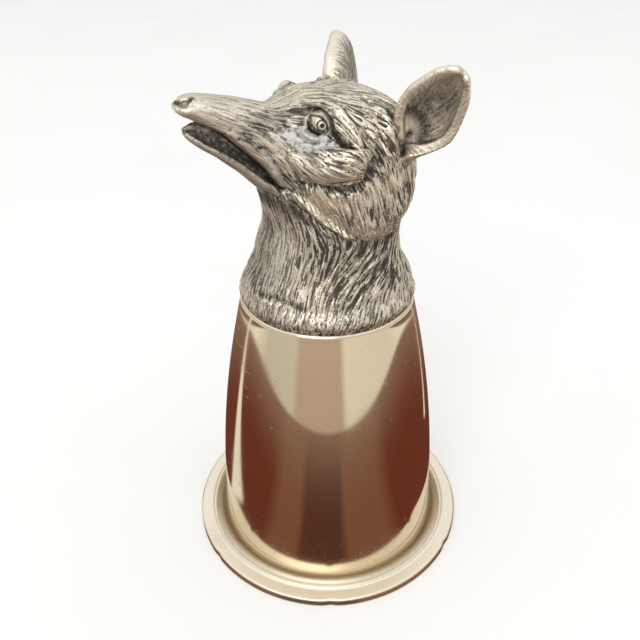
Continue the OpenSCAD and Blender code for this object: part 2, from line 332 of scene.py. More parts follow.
@cache
def patina_and_painted_shade() -> bpy.types.NodeTree:
    """Dark, tarnished recesses of rubbed cast metal, with the painted shade and painted highlights of the
    Hollow input.

    Returns:
        A group with the masks FilmAndShade, a thin grey film, and TarnishAndShade, the dark in the recesses
        and under painted shade.
    """
    inputs = {"Groove": 0.0, "Hollow": 0.0, "Worn": 0.5}
    sketch, given, out = new_group("Antique patina", inputs, ("FilmAndShade", "TarnishAndShade"))
    cloud_cells, grain_cells = 130.0, 1900.0
    cloud_share, grain_share, rub_share = 0.4, 0.8, 0.4
    cloud = sketch.minus(sketch.noise(sketch.places(), cloud_cells, 4.0), 0.5)
    grain = sketch.minus(sketch.noise(sketch.places(), grain_cells, 3.0), 0.5)
    deep = sketch.plus(given["Groove"], given["Hollow"])
    uneven = sketch.plus(deep, sketch.times(cloud, cloud_share))
    gritty = sketch.plus(uneven, sketch.times(grain, grain_share))
    rubbed = sketch.minus(gritty, sketch.times(given["Worn"], rub_share))
    sketch.feed(out["FilmAndShade"], sketch.step(rubbed, -0.3, 0.45))
    sketch.feed(out["TarnishAndShade"], sketch.step(rubbed, 0.2, 0.9))
    return sketch.tree


@cache
def fur_strokes() -> bpy.types.NodeTree:
    """Fine engraved strokes that run with the fur.

    Returns:
        A group with the value Stroke, 0 in the grooves and 1 on the ridges.
    """
    taps = 9
    inputs = {"Way": (0.0, 0.0, 1.0), "Cells": 2200.0, "Length": 0.0028}
    sketch, given, out = new_group("Fur strokes", inputs, ("Stroke",))
    place = sketch.node("TexCoord").outputs["Object"]
    total = None
    for tap in range(taps):
        away = sketch.times(given["Length"], tap / (taps - 1) - 0.5)
        shift = sketch.node("VectorMath", operation="SCALE")
        sketch.feed(shift.inputs[0], given["Way"])
        sketch.feed(shift.inputs["Scale"], away)
        moved = sketch.node("VectorMath", operation="ADD")
        sketch.feed(moved.inputs[0], place)
        sketch.feed(moved.inputs[1], shift.outputs["Vector"])
        grain = sketch.node("TexNoise")
        sketch.feed(grain.inputs["Vector"], moved.outputs["Vector"])
        sketch.feed(grain.inputs["Scale"], given["Cells"])
        grain.inputs["Detail"].default_value = 0.0
        value = grain.outputs["Fac"]
        total = value if total is None else sketch.plus(total, value)
    sketch.feed(out["Stroke"], sketch.step(sketch.math("DIVIDE", total, taps), 0.43, 0.5))
    return sketch.tree


def principled(name: str) -> tuple[bpy.types.Material, Sketch, bpy.types.Node]:
    """Starts a material.

    Args:
        name: the material's name.

    Returns:
        The material, its sketch and its Principled shader.
    """
    material = bpy.data.materials.new(name)
    material.use_nodes = True
    return material, Sketch(material.node_tree), material.node_tree.nodes["Principled BSDF"]


def bump(sketch: Sketch, shader: bpy.types.Node, height: Socket, depth: float) -> None:
    """Gives a shader fine relief.

    Args:
        sketch: the material's sketch.
        shader: the shader.
        height: the relief's height socket.
        depth: the relief's depth in metres.
    """
    made = sketch.node("Bump")
    made.inputs["Strength"].default_value = 1.0
    made.inputs["Distance"].default_value = depth
    sketch.feed(made.inputs["Height"], height)
    sketch.feed(shader.inputs["Normal"], made.outputs["Normal"])


@dataclass(frozen=True)
class PlatedFinish:
    """Silver plate or bare brass, rubbed by use, rougher and darker in colour below a height in metres."""

    name: str
    color: Color
    dark_tone: Color
    roughness: float
    smudged: float
    marks: float
    spun: float
    spun_depth: float
    satin_below: float = 0.0
    lower_band: Color = (0.64, 0.57, 0.46)
    satin_edge: float = 0.0015
    satin_rough: float = 0.3
    film_share: float = 0.35
    speck_share: float = 0.8
    scratch_rough: float = 0.2
    scratch_deep: float = 0.6
    ring_cells: Point = (40.0, 40.0, 5200.0)

    def material(self) -> bpy.types.Material:
        """Builds the finish.

        Returns:
            The material.
        """
        material, sketch, shader = principled(self.name)
        marks = place_group(sketch, handling_marks(), Amount=self.marks)
        tone = sketch.step(sketch.noise(sketch.places(), 22.0, 2.0), 0.25, 0.8)
        film = sketch.times(tone, self.film_share)
        worn = sketch.most(film, sketch.times(marks.outputs["Speck"], self.speck_share))
        parts = sketch.node("SeparateXYZ")
        sketch.feed(parts.inputs[0], sketch.places())
        height = sketch.minus(parts.outputs["Z"], self.satin_below)
        lower_band = sketch.minus(1.0, sketch.step(height, -self.satin_edge, self.satin_edge))
        # Below that height the colour turns darker as well as rougher
        bright = sketch.blend(lower_band, rgba(self.color), rgba(self.lower_band))
        sketch.feed(shader.inputs["Base Color"], sketch.blend(worn, bright, rgba(self.dark_tone)))
        shader.inputs["Metallic"].default_value = 1.0
        shader.inputs["Anisotropic"].default_value = self.spun
        sketch.feed(shader.inputs["Tangent"], sketch.node("Tangent", axis="Z").outputs["Tangent"])
        haze = sketch.span(marks.outputs["Smudge"], self.roughness, self.smudged)
        scored = sketch.plus(haze, sketch.times(marks.outputs["Scratch"], self.scratch_rough))
        sketch.feed(shader.inputs["Roughness"], sketch.plus(scored, sketch.times(lower_band, self.satin_rough)))
        rings = sketch.noise(sketch.places(self.ring_cells), 1.0, 2.0)
        relief = sketch.minus(rings, sketch.times(marks.outputs["Scratch"], self.scratch_deep))
        bump(sketch, shader, relief, self.spun_depth)
        return material


@dataclass(frozen=True)
class CastFinish:
    """Antiqued silver plate on a cast skin, dark where it can't be rubbed and where the hollow attribute
    paints shade.
    """

    name: str
    silver: Color
    cool: Color
    film: Color
    oxide_and_shade: Color
    polished: float
    dull: float
    stroke_depth: float
    drift_share: float = 0.35
    film_metal: float = 0.6
    pale_rough: float = 0.15
    pit_cells: float = 2600.0

    def material(self) -> bpy.types.Material:
        """Builds the finish.

        Returns:
            The material.
        """
        material, sketch, shader = principled(self.name)
        bold = sketch.attribute(Grain.BOLD)
        strokes = place_group(sketch, fur_strokes(), Way=sketch.attribute(Grain.WAY)).outputs["Stroke"]
        valley = sketch.times(sketch.minus(1.0, strokes), bold)
        patina_and_shade = place_group(
            sketch,
            patina_and_painted_shade(),
            Groove=sketch.most(valley, sketch.attribute(Grain.GROOVE)),
            Hollow=sketch.attribute(Grain.HOLLOW),
            Worn=sketch.attribute(Grain.WORN),
        )
        # The film and the dark mask carry tarnish and also the painted shade and highlights of the hollow
        # attribute.
        film, dark_tone = patina_and_shade.outputs["FilmAndShade"], patina_and_shade.outputs["TarnishAndShade"]
        drift = sketch.step(sketch.noise(sketch.places(), 70.0, 2.0), 0.35, 0.7)
        cool = sketch.most(sketch.attribute(Grain.COOL), sketch.times(drift, self.drift_share))
        metal = sketch.blend(cool, rgba(self.silver), rgba(self.cool))
        dimmed = sketch.blend(film, metal, rgba(self.film))
        sketch.feed(shader.inputs["Base Color"], sketch.blend(dark_tone, dimmed, rgba(self.oxide_and_shade)))
        sketch.feed(shader.inputs["Metallic"], sketch.span(film, 1.0, self.film_metal))
        pale = sketch.attribute(Grain.COOL)
        rubbed = sketch.span(film, self.polished, self.dull)
        sketch.feed(shader.inputs["Roughness"], sketch.plus(rubbed, sketch.times(pale, self.pale_rough)))
        pits = sketch.times(sketch.noise(sketch.places(), self.pit_cells, 3.0), sketch.span(pale, 0.3, 1.2))
        raised = sketch.times(strokes, bold)
        bump(sketch, shader, sketch.plus(raised, pits), self.stroke_depth)
        return material


@dataclass(frozen=True)
class MatteFinish:
    """Dull surface with a slight mottle: the seal and the floor."""

    name: str
    color: Color
    mottle: Color
    scale: float
    roughness: float

    def material(self) -> bpy.types.Material:
        """Builds the finish.

        Returns:
            The material.
        """
        material, sketch, shader = principled(self.name)
        cloud = sketch.step(sketch.noise(sketch.places(), self.scale, 4.0), 0.3, 0.7)
        sketch.feed(shader.inputs["Base Color"], sketch.blend(cloud, rgba(self.color), rgba(self.mottle)))
        shader.inputs["Roughness"].default_value = self.roughness
        shader.inputs["Specular IOR Level"].default_value = 0.2
        return material


@dataclass(frozen=True)
class Strip:
    """Straight pale strip across a card, in metres from the cup's axis: painted light, standing for a bright
    light panel that the polished wall mirrors.
    """

    start: tuple[float, float]
    end: tuple[float, float]
    width: float
    color: Color
    core: float = 0.35
    skirt: float = 0.6
    end_soft: float = 0.004

    def mask(self, sketch: Sketch, across: Socket, away: Socket) -> Socket:
        """Where the strip lies.

        Args:
            sketch: the card's sketch.
            across: the place to the right, seen from the camera.
            away: the place away from the camera.

        Returns:
            A mask, 1 on the strip.
        """
        start, end = Vector(self.start), Vector(self.end)
        unit = (end - start).normalized()
        run = self.along(sketch, across, away, unit, start)
        side = self.along(sketch, across, away, Vector((-unit.y, unit.x)), start)
        off = sketch.step(sketch.math("ABSOLUTE", side), self.core * self.width, self.skirt * self.width)
        reached = sketch.step(run, -self.end_soft, self.end_soft)
        return sketch.times(sketch.minus(1.0, off), reached)

    @staticmethod
    def along(sketch: Sketch, across: Socket, away: Socket, unit: Vector, start: Vector) -> Socket:
        """Distance from the strip's start along a direction.

        Args:
            sketch: the card's sketch.
            across: the place to the right.
            away: the place away from the camera.
            unit: the direction.
            start: the strip's start.

        Returns:
            The distance's socket.
        """
        total = sketch.plus(sketch.times(across, unit.x), sketch.times(away, unit.y))
        return sketch.minus(total, unit.dot(start))


@dataclass(frozen=True)
class CardFinish:
    """Brown card around the cup, paler outside, with tones that change around the cup.

    A tone is an azimuth in degrees from the camera's side, to the right, and the colour there.
    """

    name: str
    near: Sequence[tuple[float, Color]]
    rim: Color
    beyond: Sequence[tuple[float, Color]]
    strips: Sequence[Strip]
    fade_from: float = 0.35
    fade_share: float = 0.75
    edge_soft: float = 0.03

    def around(self, sketch: Sketch, share: Socket, tones: Sequence[tuple[float, Color]]) -> Socket:
        """Colours that change around the cup.

        Args:
            sketch: the material's sketch.
            share: share of the turn from the far side.
            tones: the tones in order.

        Returns:
            The colour's socket.
        """
        ramp = sketch.node("ValToRGB")
        sketch.feed(ramp.inputs["Fac"], share)
        stops = ramp.color_ramp.elements
        while len(stops) < len(tones):
            stops.new(0.5)
        for stop, (azimuth, color) in zip(stops, tones):
            stop.position = (azimuth + 180.0) / 360.0
            stop.color = rgba(color)
        return ramp.outputs["Color"]

    def material(self, side: float, front: float) -> bpy.types.Material:
        """Builds the finish.

        Args:
            side: half width of the brown oval.
            front: half depth of the brown oval.

        Returns:
            The material.
        """
        material, sketch, shader = principled(self.name)
        parts = sketch.node("SeparateXYZ")
        sketch.feed(parts.inputs[0], sketch.places())
        across, away = parts.outputs["X"], parts.outputs["Y"]
        azimuth = sketch.math("ARCTAN2", across, sketch.times(away, -1.0))
        share = sketch.plus(sketch.math("DIVIDE", azimuth, 2.0 * math.pi), 0.5)
        oval = sketch.node("VectorMath", operation="LENGTH")
        sketch.feed(oval.inputs[0], sketch.places((1.0 / side, 1.0 / front, 1.0)))
        reach = oval.outputs["Value"]
        fading = sketch.times(sketch.step(reach, self.fade_from, 1.0), self.fade_share)
        color = sketch.blend(fading, self.around(sketch, share, self.near), rgba(self.rim))
        for strip in self.strips:
            color = sketch.blend(strip.mask(sketch, across, away), color, rgba(strip.color))
        beyond = self.around(sketch, share, self.beyond)
        outside = sketch.step(reach, 1.0 - self.edge_soft, 1.0 + self.edge_soft)
        sketch.feed(shader.inputs["Base Color"], sketch.blend(outside, color, beyond))
        shader.inputs["Roughness"].default_value = 1.0
        shader.inputs["Specular IOR Level"].default_value = 0.0
        return material


CUP_PLATE = PlatedFinish(
    "cup_plate",
    color=(0.80, 0.71, 0.56),
    dark_tone=(0.66, 0.55, 0.40),
    roughness=0.07,
    smudged=0.13,
    marks=1.0,
    spun=0.5,
    spun_depth=1.0e-6,
    satin_below=0.0036,
)
LIP_PLATE = PlatedFinish(
    "lip_plate",
    color=(0.88, 0.81, 0.67),
    dark_tone=(0.70, 0.61, 0.45),
    roughness=0.42,
    smudged=0.52,
    marks=1.0,
    spun=0.2,
    spun_depth=4.0e-6,
)
TURNED_BRASS = PlatedFinish(
    "screw_brass",
    color=(0.72, 0.55, 0.28),
    dark_tone=(0.40, 0.26, 0.12),
    roughness=0.25,
    smudged=0.4,
    marks=1.0,
    spun=0.3,
    spun_depth=6.0e-6,
)
# The darkest colour of both casts also stands for painted shade.
CAST_FUR = CastFinish(
    "cast_fur",
    silver=(0.82, 0.74, 0.59),
    cool=(0.66, 0.67, 0.66),
    film=(0.36, 0.325, 0.265),
    oxide_and_shade=(0.062, 0.052, 0.043),
    polished=0.4,
    dull=0.55,
    stroke_depth=2.6e-4,
)
EYE_METAL = CastFinish(
    "eye_bead",
    silver=(0.74, 0.67, 0.49),
    cool=(0.62, 0.62, 0.57),
    film=(0.36, 0.34, 0.27),
    oxide_and_shade=(0.055, 0.046, 0.036),
    polished=0.24,
    dull=0.5,
    stroke_depth=8.0e-5,
)
FIBRE_SEAL = MatteFinish(
    "seal", color=(0.20, 0.14, 0.09), mottle=(0.12, 0.08, 0.05), scale=900.0, roughness=0.8
)
PALE_FLOOR = MatteFinish(
    "pale_floor", color=(0.90, 0.90, 0.89), mottle=(0.88, 0.88, 0.87), scale=6.0, roughness=0.9
)
RED_BROWN: Color = (0.14, 0.037, 0.023)
SOFT_BROWN: Color = (0.20, 0.09, 0.057)
DARK_BROWN: Color = (0.10, 0.038, 0.027)
PALE: Color = (0.84, 0.81, 0.73)
LEFT_PALE: Color = (0.56, 0.53, 0.47)
RIGHT_PALE: Color = (0.72, 0.68, 0.61)
SHADED: Color = (0.46, 0.37, 0.31)
BROWN_CARD = CardFinish(
    "brown_card",
    (
        # The darker band on the camera's side is a painted shadow that the polished wall mirrors.
        (-180, RED_BROWN), (-48, RED_BROWN), (-38, SOFT_BROWN), (-22, SOFT_BROWN), (-17, DARK_BROWN),
        (9, DARK_BROWN), (14, SOFT_BROWN), (42, SOFT_BROWN), (55, RED_BROWN), (180, RED_BROWN),
    ),
    (0.27, 0.18, 0.135),
    (
        (-180, PALE), (-90, PALE), (-70, LEFT_PALE), (-36, LEFT_PALE), (-30, SHADED), (14, SHADED),
        (20, RIGHT_PALE), (75, RIGHT_PALE), (95, PALE), (180, PALE),
    ),
    (
        Strip((-0.045, -0.010), (-0.300, 0.092), 0.016, PALE),
        Strip((0.079, 0.034), (0.140, 0.126), 0.006, PALE),
    ),
)


def new_object(name: str, mesh: bpy.types.Mesh) -> bpy.types.Object:
    """Links a mesh into the scene under a name."""
    made = bpy.data.objects.new(name, mesh)
    bpy.context.scene.collection.objects.link(made)
    return made


def dress(piece: bpy.types.Object, slot: Slot, material: bpy.types.Material, *nodes: str) -> None:
    """Finishes a piece, rides it and names what it stands for.

    Args:
        piece: the piece.
        slot: not used.
        material: its material.
        nodes: the solids that it stands for.
    """
    piece.data.materials.clear()
    piece.data.materials.append(material)
    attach(piece, BODY)
    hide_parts(*nodes)
    log.info("%s: %d points, stands for %s", piece.name, len(piece.data.vertices), ", ".join(nodes))


def arc(center: tuple[float, float], radius: float, start: float, stop: float, steps: int) -> list:
    """Points of a round stretch of an outline.

    Args:
        center: its centre as radius and height.
        radius: its radius.
        start: first turn in degrees.
        stop: last turn in degrees.
        steps: stretches along it.

    Returns:
        The points, both ends among them.
    """
    turns = np.radians(np.linspace(start, stop, steps + 1))
    return [(center[0] + radius * math.cos(t), center[1] + radius * math.sin(t)) for t in turns]


def turned(name: str, outline: Sequence, segments: int, warp: Callable[[Array], Array]) -> bpy.types.Object:
    """Turns a closed outline about the cup's axis.

    Args:
        name: the piece's name.
        outline: radius and height of its points in millimetres, counterclockwise.
        segments: steps around.
        warp: moves the points a little, as work and wear do.

    Returns:
        The new object.
    """
    rows = np.array(outline, float)
    turns = np.linspace(0.0, 2.0 * math.pi, segments, endpoint=False)
    across = np.outer(np.cos(turns), rows[:, 0])
    away = np.outer(np.sin(turns), rows[:, 0])
    co = np.stack([across, away, np.tile(rows[:, 1], (segments, 1))], axis=2).reshape(-1, 3)
    count = len(rows)
    ring, step = np.meshgrid(np.arange(segments), np.arange(count), indexing="ij")
    here, beside = ring * count, (ring + 1) % segments * count
    above = (step + 1) % count
    faces = np.stack([here + step, beside + step, beside + above, here + above], axis=2).reshape(-1, 4)
    mesh = bpy.data.meshes.new(name)
    mesh.from_pydata((warp(co) * MM).tolist(), [], faces.tolist())
    mesh.shade_smooth()
    mesh.update()
    return new_object(name, mesh)


@dataclass
class Cup:
    """Spun cup and the band soldered on its flange, in millimetres."""

    wall_r: float = 35.5
    crown_r: float = 25.5
    sheet: float = 1.2
    cove: float = 2.6
    flare: float = 1.6
    flare_h: float = 14.0
    crown_round: float = 1.2
    hole_r: float = 2.75
    band_h: float = 2.6
    bead: float = 0.5
    lip_round: float = 0.8
    skirt: float = 0.7
    segments: int = 240
    rows: int = 70
    crowding: float = 1.5
    wave: float = 0.018
    ripple: float = 0.010
    knocks: Sequence[tuple[float, float, float]] = (
        (-24.0, 2.2, 0.35), (-78.0, 1.6, 0.3), (35.0, 2.0, 0.3), (118.0, 3.0, 0.3), (201.0, 2.4, 0.25),
    )
    flange_r: float = field(init=False)
    height: float = field(init=False)
    lip_r: float = field(init=False)
    lean: float = field(init=False)
    foot: float = field(init=False)
    cove_at: tuple[float, float] = field(init=False)

    def __post_init__(self) -> None:
        """Takes the outer sizes from the frame and works out the foot of the wall."""
        self.flange_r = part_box("beaker")[1].x / MM
        self.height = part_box("beaker")[1].z / MM
        self.lip_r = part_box("lip_band")[1].x / MM
        self.lean = math.atan(2.0 * self.flare / self.flare_h)
        self.foot = self.sheet + self.cove * (1.0 - math.sin(self.lean))
        self.cove_at = (self.wall_r + self.flare + self.cove * math.cos(self.lean), self.sheet + self.cove)

    def wall(self, inset: float) -> list:
        """Wall line from the cove up to the crown.

        Args:
            inset: distance inside the outer face.

        Returns:
            Its points.
        """
        rise = self.height - self.crown_round - self.foot
        draw_in = self.wall_r - self.crown_r
        curve = (rise * rise + draw_in * draw_in) / (2.0 * draw_in)
        up = rise * np.linspace(0.0, 1.0, self.rows) ** self.crowding
        flared = self.flare * np.maximum(1.0 - up / self.flare_h, 0.0) ** 2
        out = self.wall_r - curve + np.sqrt(curve * curve - up * up) + flared - inset
        return list(zip(out.tolist(), (self.foot + up).tolist()))

    def beaker(self) -> bpy.types.Object:
        """Builds the spun cup.

        Returns:
            Its object.
        """
        leave = 180.0 + math.degrees(self.lean)
        under = self.height - self.sheet
        rim = self.crown_r - self.crown_round
        outside = [(self.flange_r, 0.0), (self.flange_r, self.sheet)]
        outside += arc(self.cove_at, self.cove, 270, leave, 14)
        outside += self.wall(0.0)[1:]
        outside += arc((rim, self.height - self.crown_round), self.crown_round, 0, 90, 8)[1:]
        outside += [(self.hole_r, self.height), (self.hole_r, under)]
        inside = arc(self.cove_at, self.cove + self.sheet, 270, leave, 14)
        inside += [p for p in self.wall(self.sheet)[1:] if p[1] < under - 0.3]
        inside += [(self.crown_r - self.sheet - 0.3, under)]
        return turned("beaker_plated", outside + inside[::-1], self.segments, self.spun)

    def spun(self, co: Array) -> Array:
        """Slight waves that spinning leaves in the sheet.

        Args:
            co: points in millimetres.

        Returns:
            The moved points.
        """
        turn = np.arctan2(co[:, 1], co[:, 0])
        free = smoothstep(5.0, 14.0, co[:, 2]) * (1.0 - smoothstep(70.0, 84.0, co[:, 2]))
        wave = self.wave * np.sin(3 * turn + 0.07 * co[:, 2])
        wave += self.ripple * np.sin(7 * turn - 0.11 * co[:, 2] + 1.3)
        moved = co.copy()
        moved[:, :2] *= (1.0 + free * wave / np.maximum(np.hypot(co[:, 0], co[:, 1]), 1.0))[:, None]
        return moved

    def band(self) -> bpy.types.Object:
        """Builds the lip band with its bead and skirt.

        Returns:
            Its object.
        """
        inner = self.cove_at[0]
        skirt_in = self.lip_r - self.skirt
        edge = (self.lip_r - self.lip_round, self.band_h - self.lip_round)
        outline = [(skirt_in, self.sheet), (skirt_in, 0.0), (self.lip_r - 0.25, 0.0), (self.lip_r, 0.25)]
        outline += [(self.lip_r, 1.0)]
        outline += arc(edge, self.lip_round, 0, 90, 8)
        outline += [(inner + 3.5, self.band_h), (inner + 2.0, self.band_h)]
        outline += arc((inner + self.bead, self.band_h), self.bead, 0, 180, 8)
        outline += [(inner, self.sheet)]
        return turned("lip_band_plated", outline, self.segments * 2, self.knocked)

    def knocked(self, co: Array) -> Array:
        """Small knocks along the lip's edge.

        Args:
            co: points in millimetres.

        Returns:
            The moved points.
        """
        turn = np.degrees(np.arctan2(co[:, 1], co[:, 0]))
        edge = smoothstep(self.lip_r - 1.6, self.lip_r - 0.2, np.hypot(co[:, 0], co[:, 1]))
        moved = co.copy()
        for at, wide, depth in self.knocks:
            away = (turn - at + 180.0) % 360.0 - 180.0
            dent = edge * np.exp(-((away / wide) ** 2)) * depth
            moved[:, :2] *= (1.0 - dent / self.lip_r)[:, None]
            moved[:, 2] = np.maximum(moved[:, 2] - 0.4 * dent * (co[:, 2] > 1.5), 0.0)
        wave = 0.05 * np.sin(np.radians(2 * turn + 40)) + 0.03 * np.sin(np.radians(5 * turn))
        moved[:, 2] += wave * (co[:, 2] > 1.5)
        return moved

    def build(self) -> None:
        """Builds and finishes both pieces."""
        dress(self.beaker(), Slot.CUP, CUP_PLATE.material(), "beaker")
        dress(self.band(), Slot.LIP, LIP_PLATE.material(), "lip_band")


class Speckle:
    """Smooth random values over space, the same in each run."""

    size = 1 << 16
    primes = np.array([73856093, 19349663, 83492791])

    def __init__(self, seed: int) -> None:
        """Fills the table of values."""
        self.values = np.random.default_rng(seed).random(self.size).astype(np.float32)

    def __call__(self, places: Array) -> Array:
        """Values from 0 to 1.

        Args:
            places: points, one unit to a cell.

        Returns:
            One value per point.
        """
        cell = np.floor(places).astype(np.int64)
        share = (places - cell).astype(np.float32)
        share = share * share * (3.0 - 2.0 * share)
        total = np.zeros(len(places), np.float32)
        for corner in range(8):
            bits = np.array([corner & 1, corner >> 1 & 1, corner >> 2 & 1])
            mixed = (cell + bits) * self.primes
            key = (mixed[:, 0] ^ mixed[:, 1] ^ mixed[:, 2]) & (self.size - 1)
            weight = np.where(bits, share, 1.0 - share).prod(axis=1)
            total += self.values[key] * weight
        return total


def remeshed(node: str, voxel_mm: float) -> bpy.types.Mesh:
    """Even skin over a solid of the frame.

    Args:
        node: the solid's name.
        voxel_mm: distance between the skin's points.

    Returns:
        A new mesh of quads.
    """
    scratch = new_object("scratch_" + node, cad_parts[node].data.copy())
    modifier = scratch.modifiers.new("skin", "REMESH")
    modifier.mode = "VOXEL"
    modifier.voxel_size = voxel_mm * MM
    bpy.context.view_layer.update()
    mesh = bpy.data.meshes.new_from_object(scratch.evaluated_get(bpy.context.evaluated_depsgraph_get()))
    old = scratch.data
    bpy.data.objects.remove(scratch)
    bpy.data.meshes.remove(old)
    return mesh


class Clay:
    """Skins of several cast pieces, worked on together in millimetres above the crown."""

    pull, push = 0.55, -0.57

    def __init__(self, meshes: Sequence[bpy.types.Mesh], crown: float) -> None:
        """Gathers the points.

        Args:
            meshes: the skins.
            crown: height of the crown in metres.
        """
        self.meshes = list(meshes)
        self.crown = crown
        points, quads, edges, piece = [], [], [], []
        start = 0
        for number, mesh in enumerate(self.meshes):
            count = len(mesh.vertices)
            co = np.empty(count * 3, np.float32)
            mesh.vertices.foreach_get("co", co)
            corner = np.empty(len(mesh.loops), np.int32)
            mesh.loops.foreach_get("vertex_index", corner)
            pair = np.empty(len(mesh.edges) * 2, np.int32)
            mesh.edges.foreach_get("vertices", pair)
            points.append((co.reshape(-1, 3).astype(float) - (0.0, 0.0, crown)) / MM)
            quads.append(corner.reshape(-1, 4) + start)
            edges.append(pair.reshape(-1, 2) + start)
            piece.append(np.full(count, number))
            start += count
        self.co = np.concatenate(points)
        self.quads = np.concatenate(quads)
        self.edges = np.concatenate(edges)
        self.piece = np.concatenate(piece)
        self.degree = np.bincount(self.edges.ravel(), minlength=start)
        self.side = np.where(self.co[:, 0] < 0.0, -1.0, 1.0)

    def normals(self) -> Array:
        """Unit normals of all points."""
        a, b, c, d = (self.co[self.quads[:, k]] for k in range(4))
        flat = np.cross(c - a, d - b)
        total = np.stack([self.gathered(part) for part in flat.T], axis=1)
        return total / np.maximum(np.linalg.norm(total, axis=1, keepdims=True), 1e-12)

    def gathered(self, values: Array) -> Array:
        """Sum at each point of the values of the quads around it."""
        return sum(np.bincount(corner, weights=values, minlength=len(self.co)) for corner in self.quads.T)

    def spread(self, values: Array) -> Array:
        """Mean of each point's neighbours.

        Args:
            values: one value or row per point.

        Returns:
            The means.
        """
        first, second = self.edges.T
        columns = values.reshape(len(values), -1)
        total = [
            np.bincount(first, weights=column[second], minlength=len(columns))
            + np.bincount(second, weights=column[first], minlength=len(columns))
            for column in columns.T
        ]
        return (np.stack(total, axis=1) / np.maximum(self.degree, 1)[:, None]).reshape(values.shape)

    def soften(self, passes: int, keep: Array) -> None:
        """Smooths the skin without shrinking it.

        Args:
            passes: pairs of smoothing steps.
            keep: share of each point's move that is left out.
        """
        free = (1.0 - keep)[:, None]
        for _ in range(passes):
            for share in (self.pull, self.push):
                self.co += share * free * (self.spread(self.co) - self.co)

    def blurred(self, values: Array, passes: int) -> Array:
        """Values after some rounds of averaging."""
        for _ in range(passes):
            values = 0.5 * values + 0.5 * self.spread(values)
        return values

    def folded(self) -> Array:
        """Points mirrored to the left side."""
        return self.co * np.stack([self.side, np.ones_like(self.side), np.ones_like(self.side)], axis=1)

    def release(self, names: Sequence[str], values: dict[Grain, Array]) -> list[bpy.types.Object]:
        """Writes the worked points back and makes objects.

        Args:
            names: one name per piece.
            values: attributes of all points.

        Returns:
            One object per piece.
        """
        made = []
        for number, (mesh, name) in enumerate(zip(self.meshes, names)):
            mine = self.piece == number
            co = self.co[mine] * MM + (0.0, 0.0, self.crown)
            mesh.vertices.foreach_set("co", co.astype(np.float32).ravel())
            for grain, value in values.items():
                kind, field_name = ("FLOAT", "value") if value.ndim == 1 else ("FLOAT_VECTOR", "vector")
                layer = mesh.attributes.new(grain.value, kind, "POINT")
                layer.data.foreach_set(field_name, value[mine].astype(np.float32).ravel())
            mesh.name = name
            mesh.shade_smooth()
            mesh.update()
            made.append(new_object(name, mesh))
        return made


class Trail:
    """A path over the casting, on the left side, with distances to it."""

    def __init__(self, path: Path, reach: float) -> None:
        """Keeps the path's points and how far it is felt."""
        self.points = np.array(path, float)
        self.reach = reach

    def near(self, co: Array) -> Array:
        """Numbers of the points within reach of the path's box."""
        low, high = self.points.min(axis=0) - self.reach, self.points.max(axis=0) + self.reach
        return np.nonzero(((co > low) & (co < high)).all(axis=1))[0]

    def measure(self, co: Array) -> tuple[Array, Array, Array]:
        """Nearest places on the path.

        Args:
            co: points.

        Returns:
            Offsets from the path, the path's direction there, and the share of its length.
        """
        best = np.full(len(co), np.inf)
        offset = np.zeros_like(co)
        way = np.zeros_like(co)
        share = np.zeros(len(co))
        pieces = np.linalg.norm(np.diff(self.points, axis=0), axis=1)
        starts = np.concatenate([[0.0], np.cumsum(pieces)])
        for k, length in enumerate(pieces):
            unit = (self.points[k + 1] - self.points[k]) / length
            along = np.clip((co - self.points[k]) @ unit, 0.0, length)
            away = co - self.points[k] - along[:, None] * unit
            distance = np.einsum("ij,ij->i", away, away)
            closer = distance < best
            best[closer] = distance[closer]
            offset[closer] = away[closer]
            way[closer] = unit
            share[closer] = (starts[k] + along[closer]) / starts[-1]
        return offset, way, share


# Lines of the head on its left side, from the nose towards the back, in millimetres above the crown
BROW_EDGE: Path = (
    (6.2, -11.6, 55.7), (8.1, -9.8, 56.1), (11.0, -8.0, 56.1), (13.8, -6.7, 55.4), (15.8, -5.8, 54.2),
    (16.7, -5.1, 52.3), (17.4, -4.7, 50.5), (18.9, -3.4, 48.4), (21.6, -1.3, 46.5),
)
BROW_TAIL: Path = (
    (14.6, -5.2, 56.4), (17.4, -3.9, 54.8), (19.6, -2.6, 52.0), (21.4, -1.4, 48.6), (22.1, -0.4, 46.4),
)
BROW_SPLIT: Path = (
    (13.0, -4.0, 57.2), (16.4, -2.6, 55.6), (19.0, -1.4, 52.6), (21.2, -0.2, 48.8), (22.0, 0.8, 46.6),
)
SOCKET: Path = (
    (7.5, -14.0, 54.6), (7.4, -11.8, 55.0), (9.2, -10.3, 55.2), (11.8, -8.8, 55.3), (14.6, -7.0, 54.3),
    (16.2, -6.0, 52.6), (16.9, -5.6, 51.2),
)
SOCKET_FRONT: Path = ((6.9, -14.3, 54.4), (8.4, -15.2, 53.0), (9.4, -15.4, 51.8))
LID_ROLL: Path = (
    (11.5, -12.4, 51.4), (12.9, -11.5, 50.3), (14.4, -10.1, 49.5), (15.7, -8.6, 49.6), (16.2, -7.6, 49.9),
)
LID_FOLD: Path = (
    (11.1, -13.1, 50.7), (12.2, -12.3, 49.8), (13.6, -11.1, 48.7), (14.9, -9.6, 48.6), (15.9, -8.2, 49.1),
)
UNDER_EYE: Path = (
    (9.5, -15.7, 50.9), (11.2, -13.9, 49.4), (13.3, -11.8, 48.0), (15.7, -9.2, 47.6), (17.5, -6.3, 48.0),
)
TUFT_CREST: Path = (
    (10.6, -16.4, 45.5), (15.3, -14.2, 44.1), (18.9, -11.7, 43.3), (21.4, -8.7, 42.9), (23.1, -5.3, 43.2),
    (23.2, -1.2, 43.8),
)
TUFT_EDGE: Path = (
    (10.5, -15.6, 39.3), (13.3, -12.5, 39.2), (16.3, -10.2, 39.8), (18.8, -6.8, 39.0), (20.6, -3.5, 39.1),
    (21.6, -1.3, 40.4), (21.8, 0.4, 42.4),
)
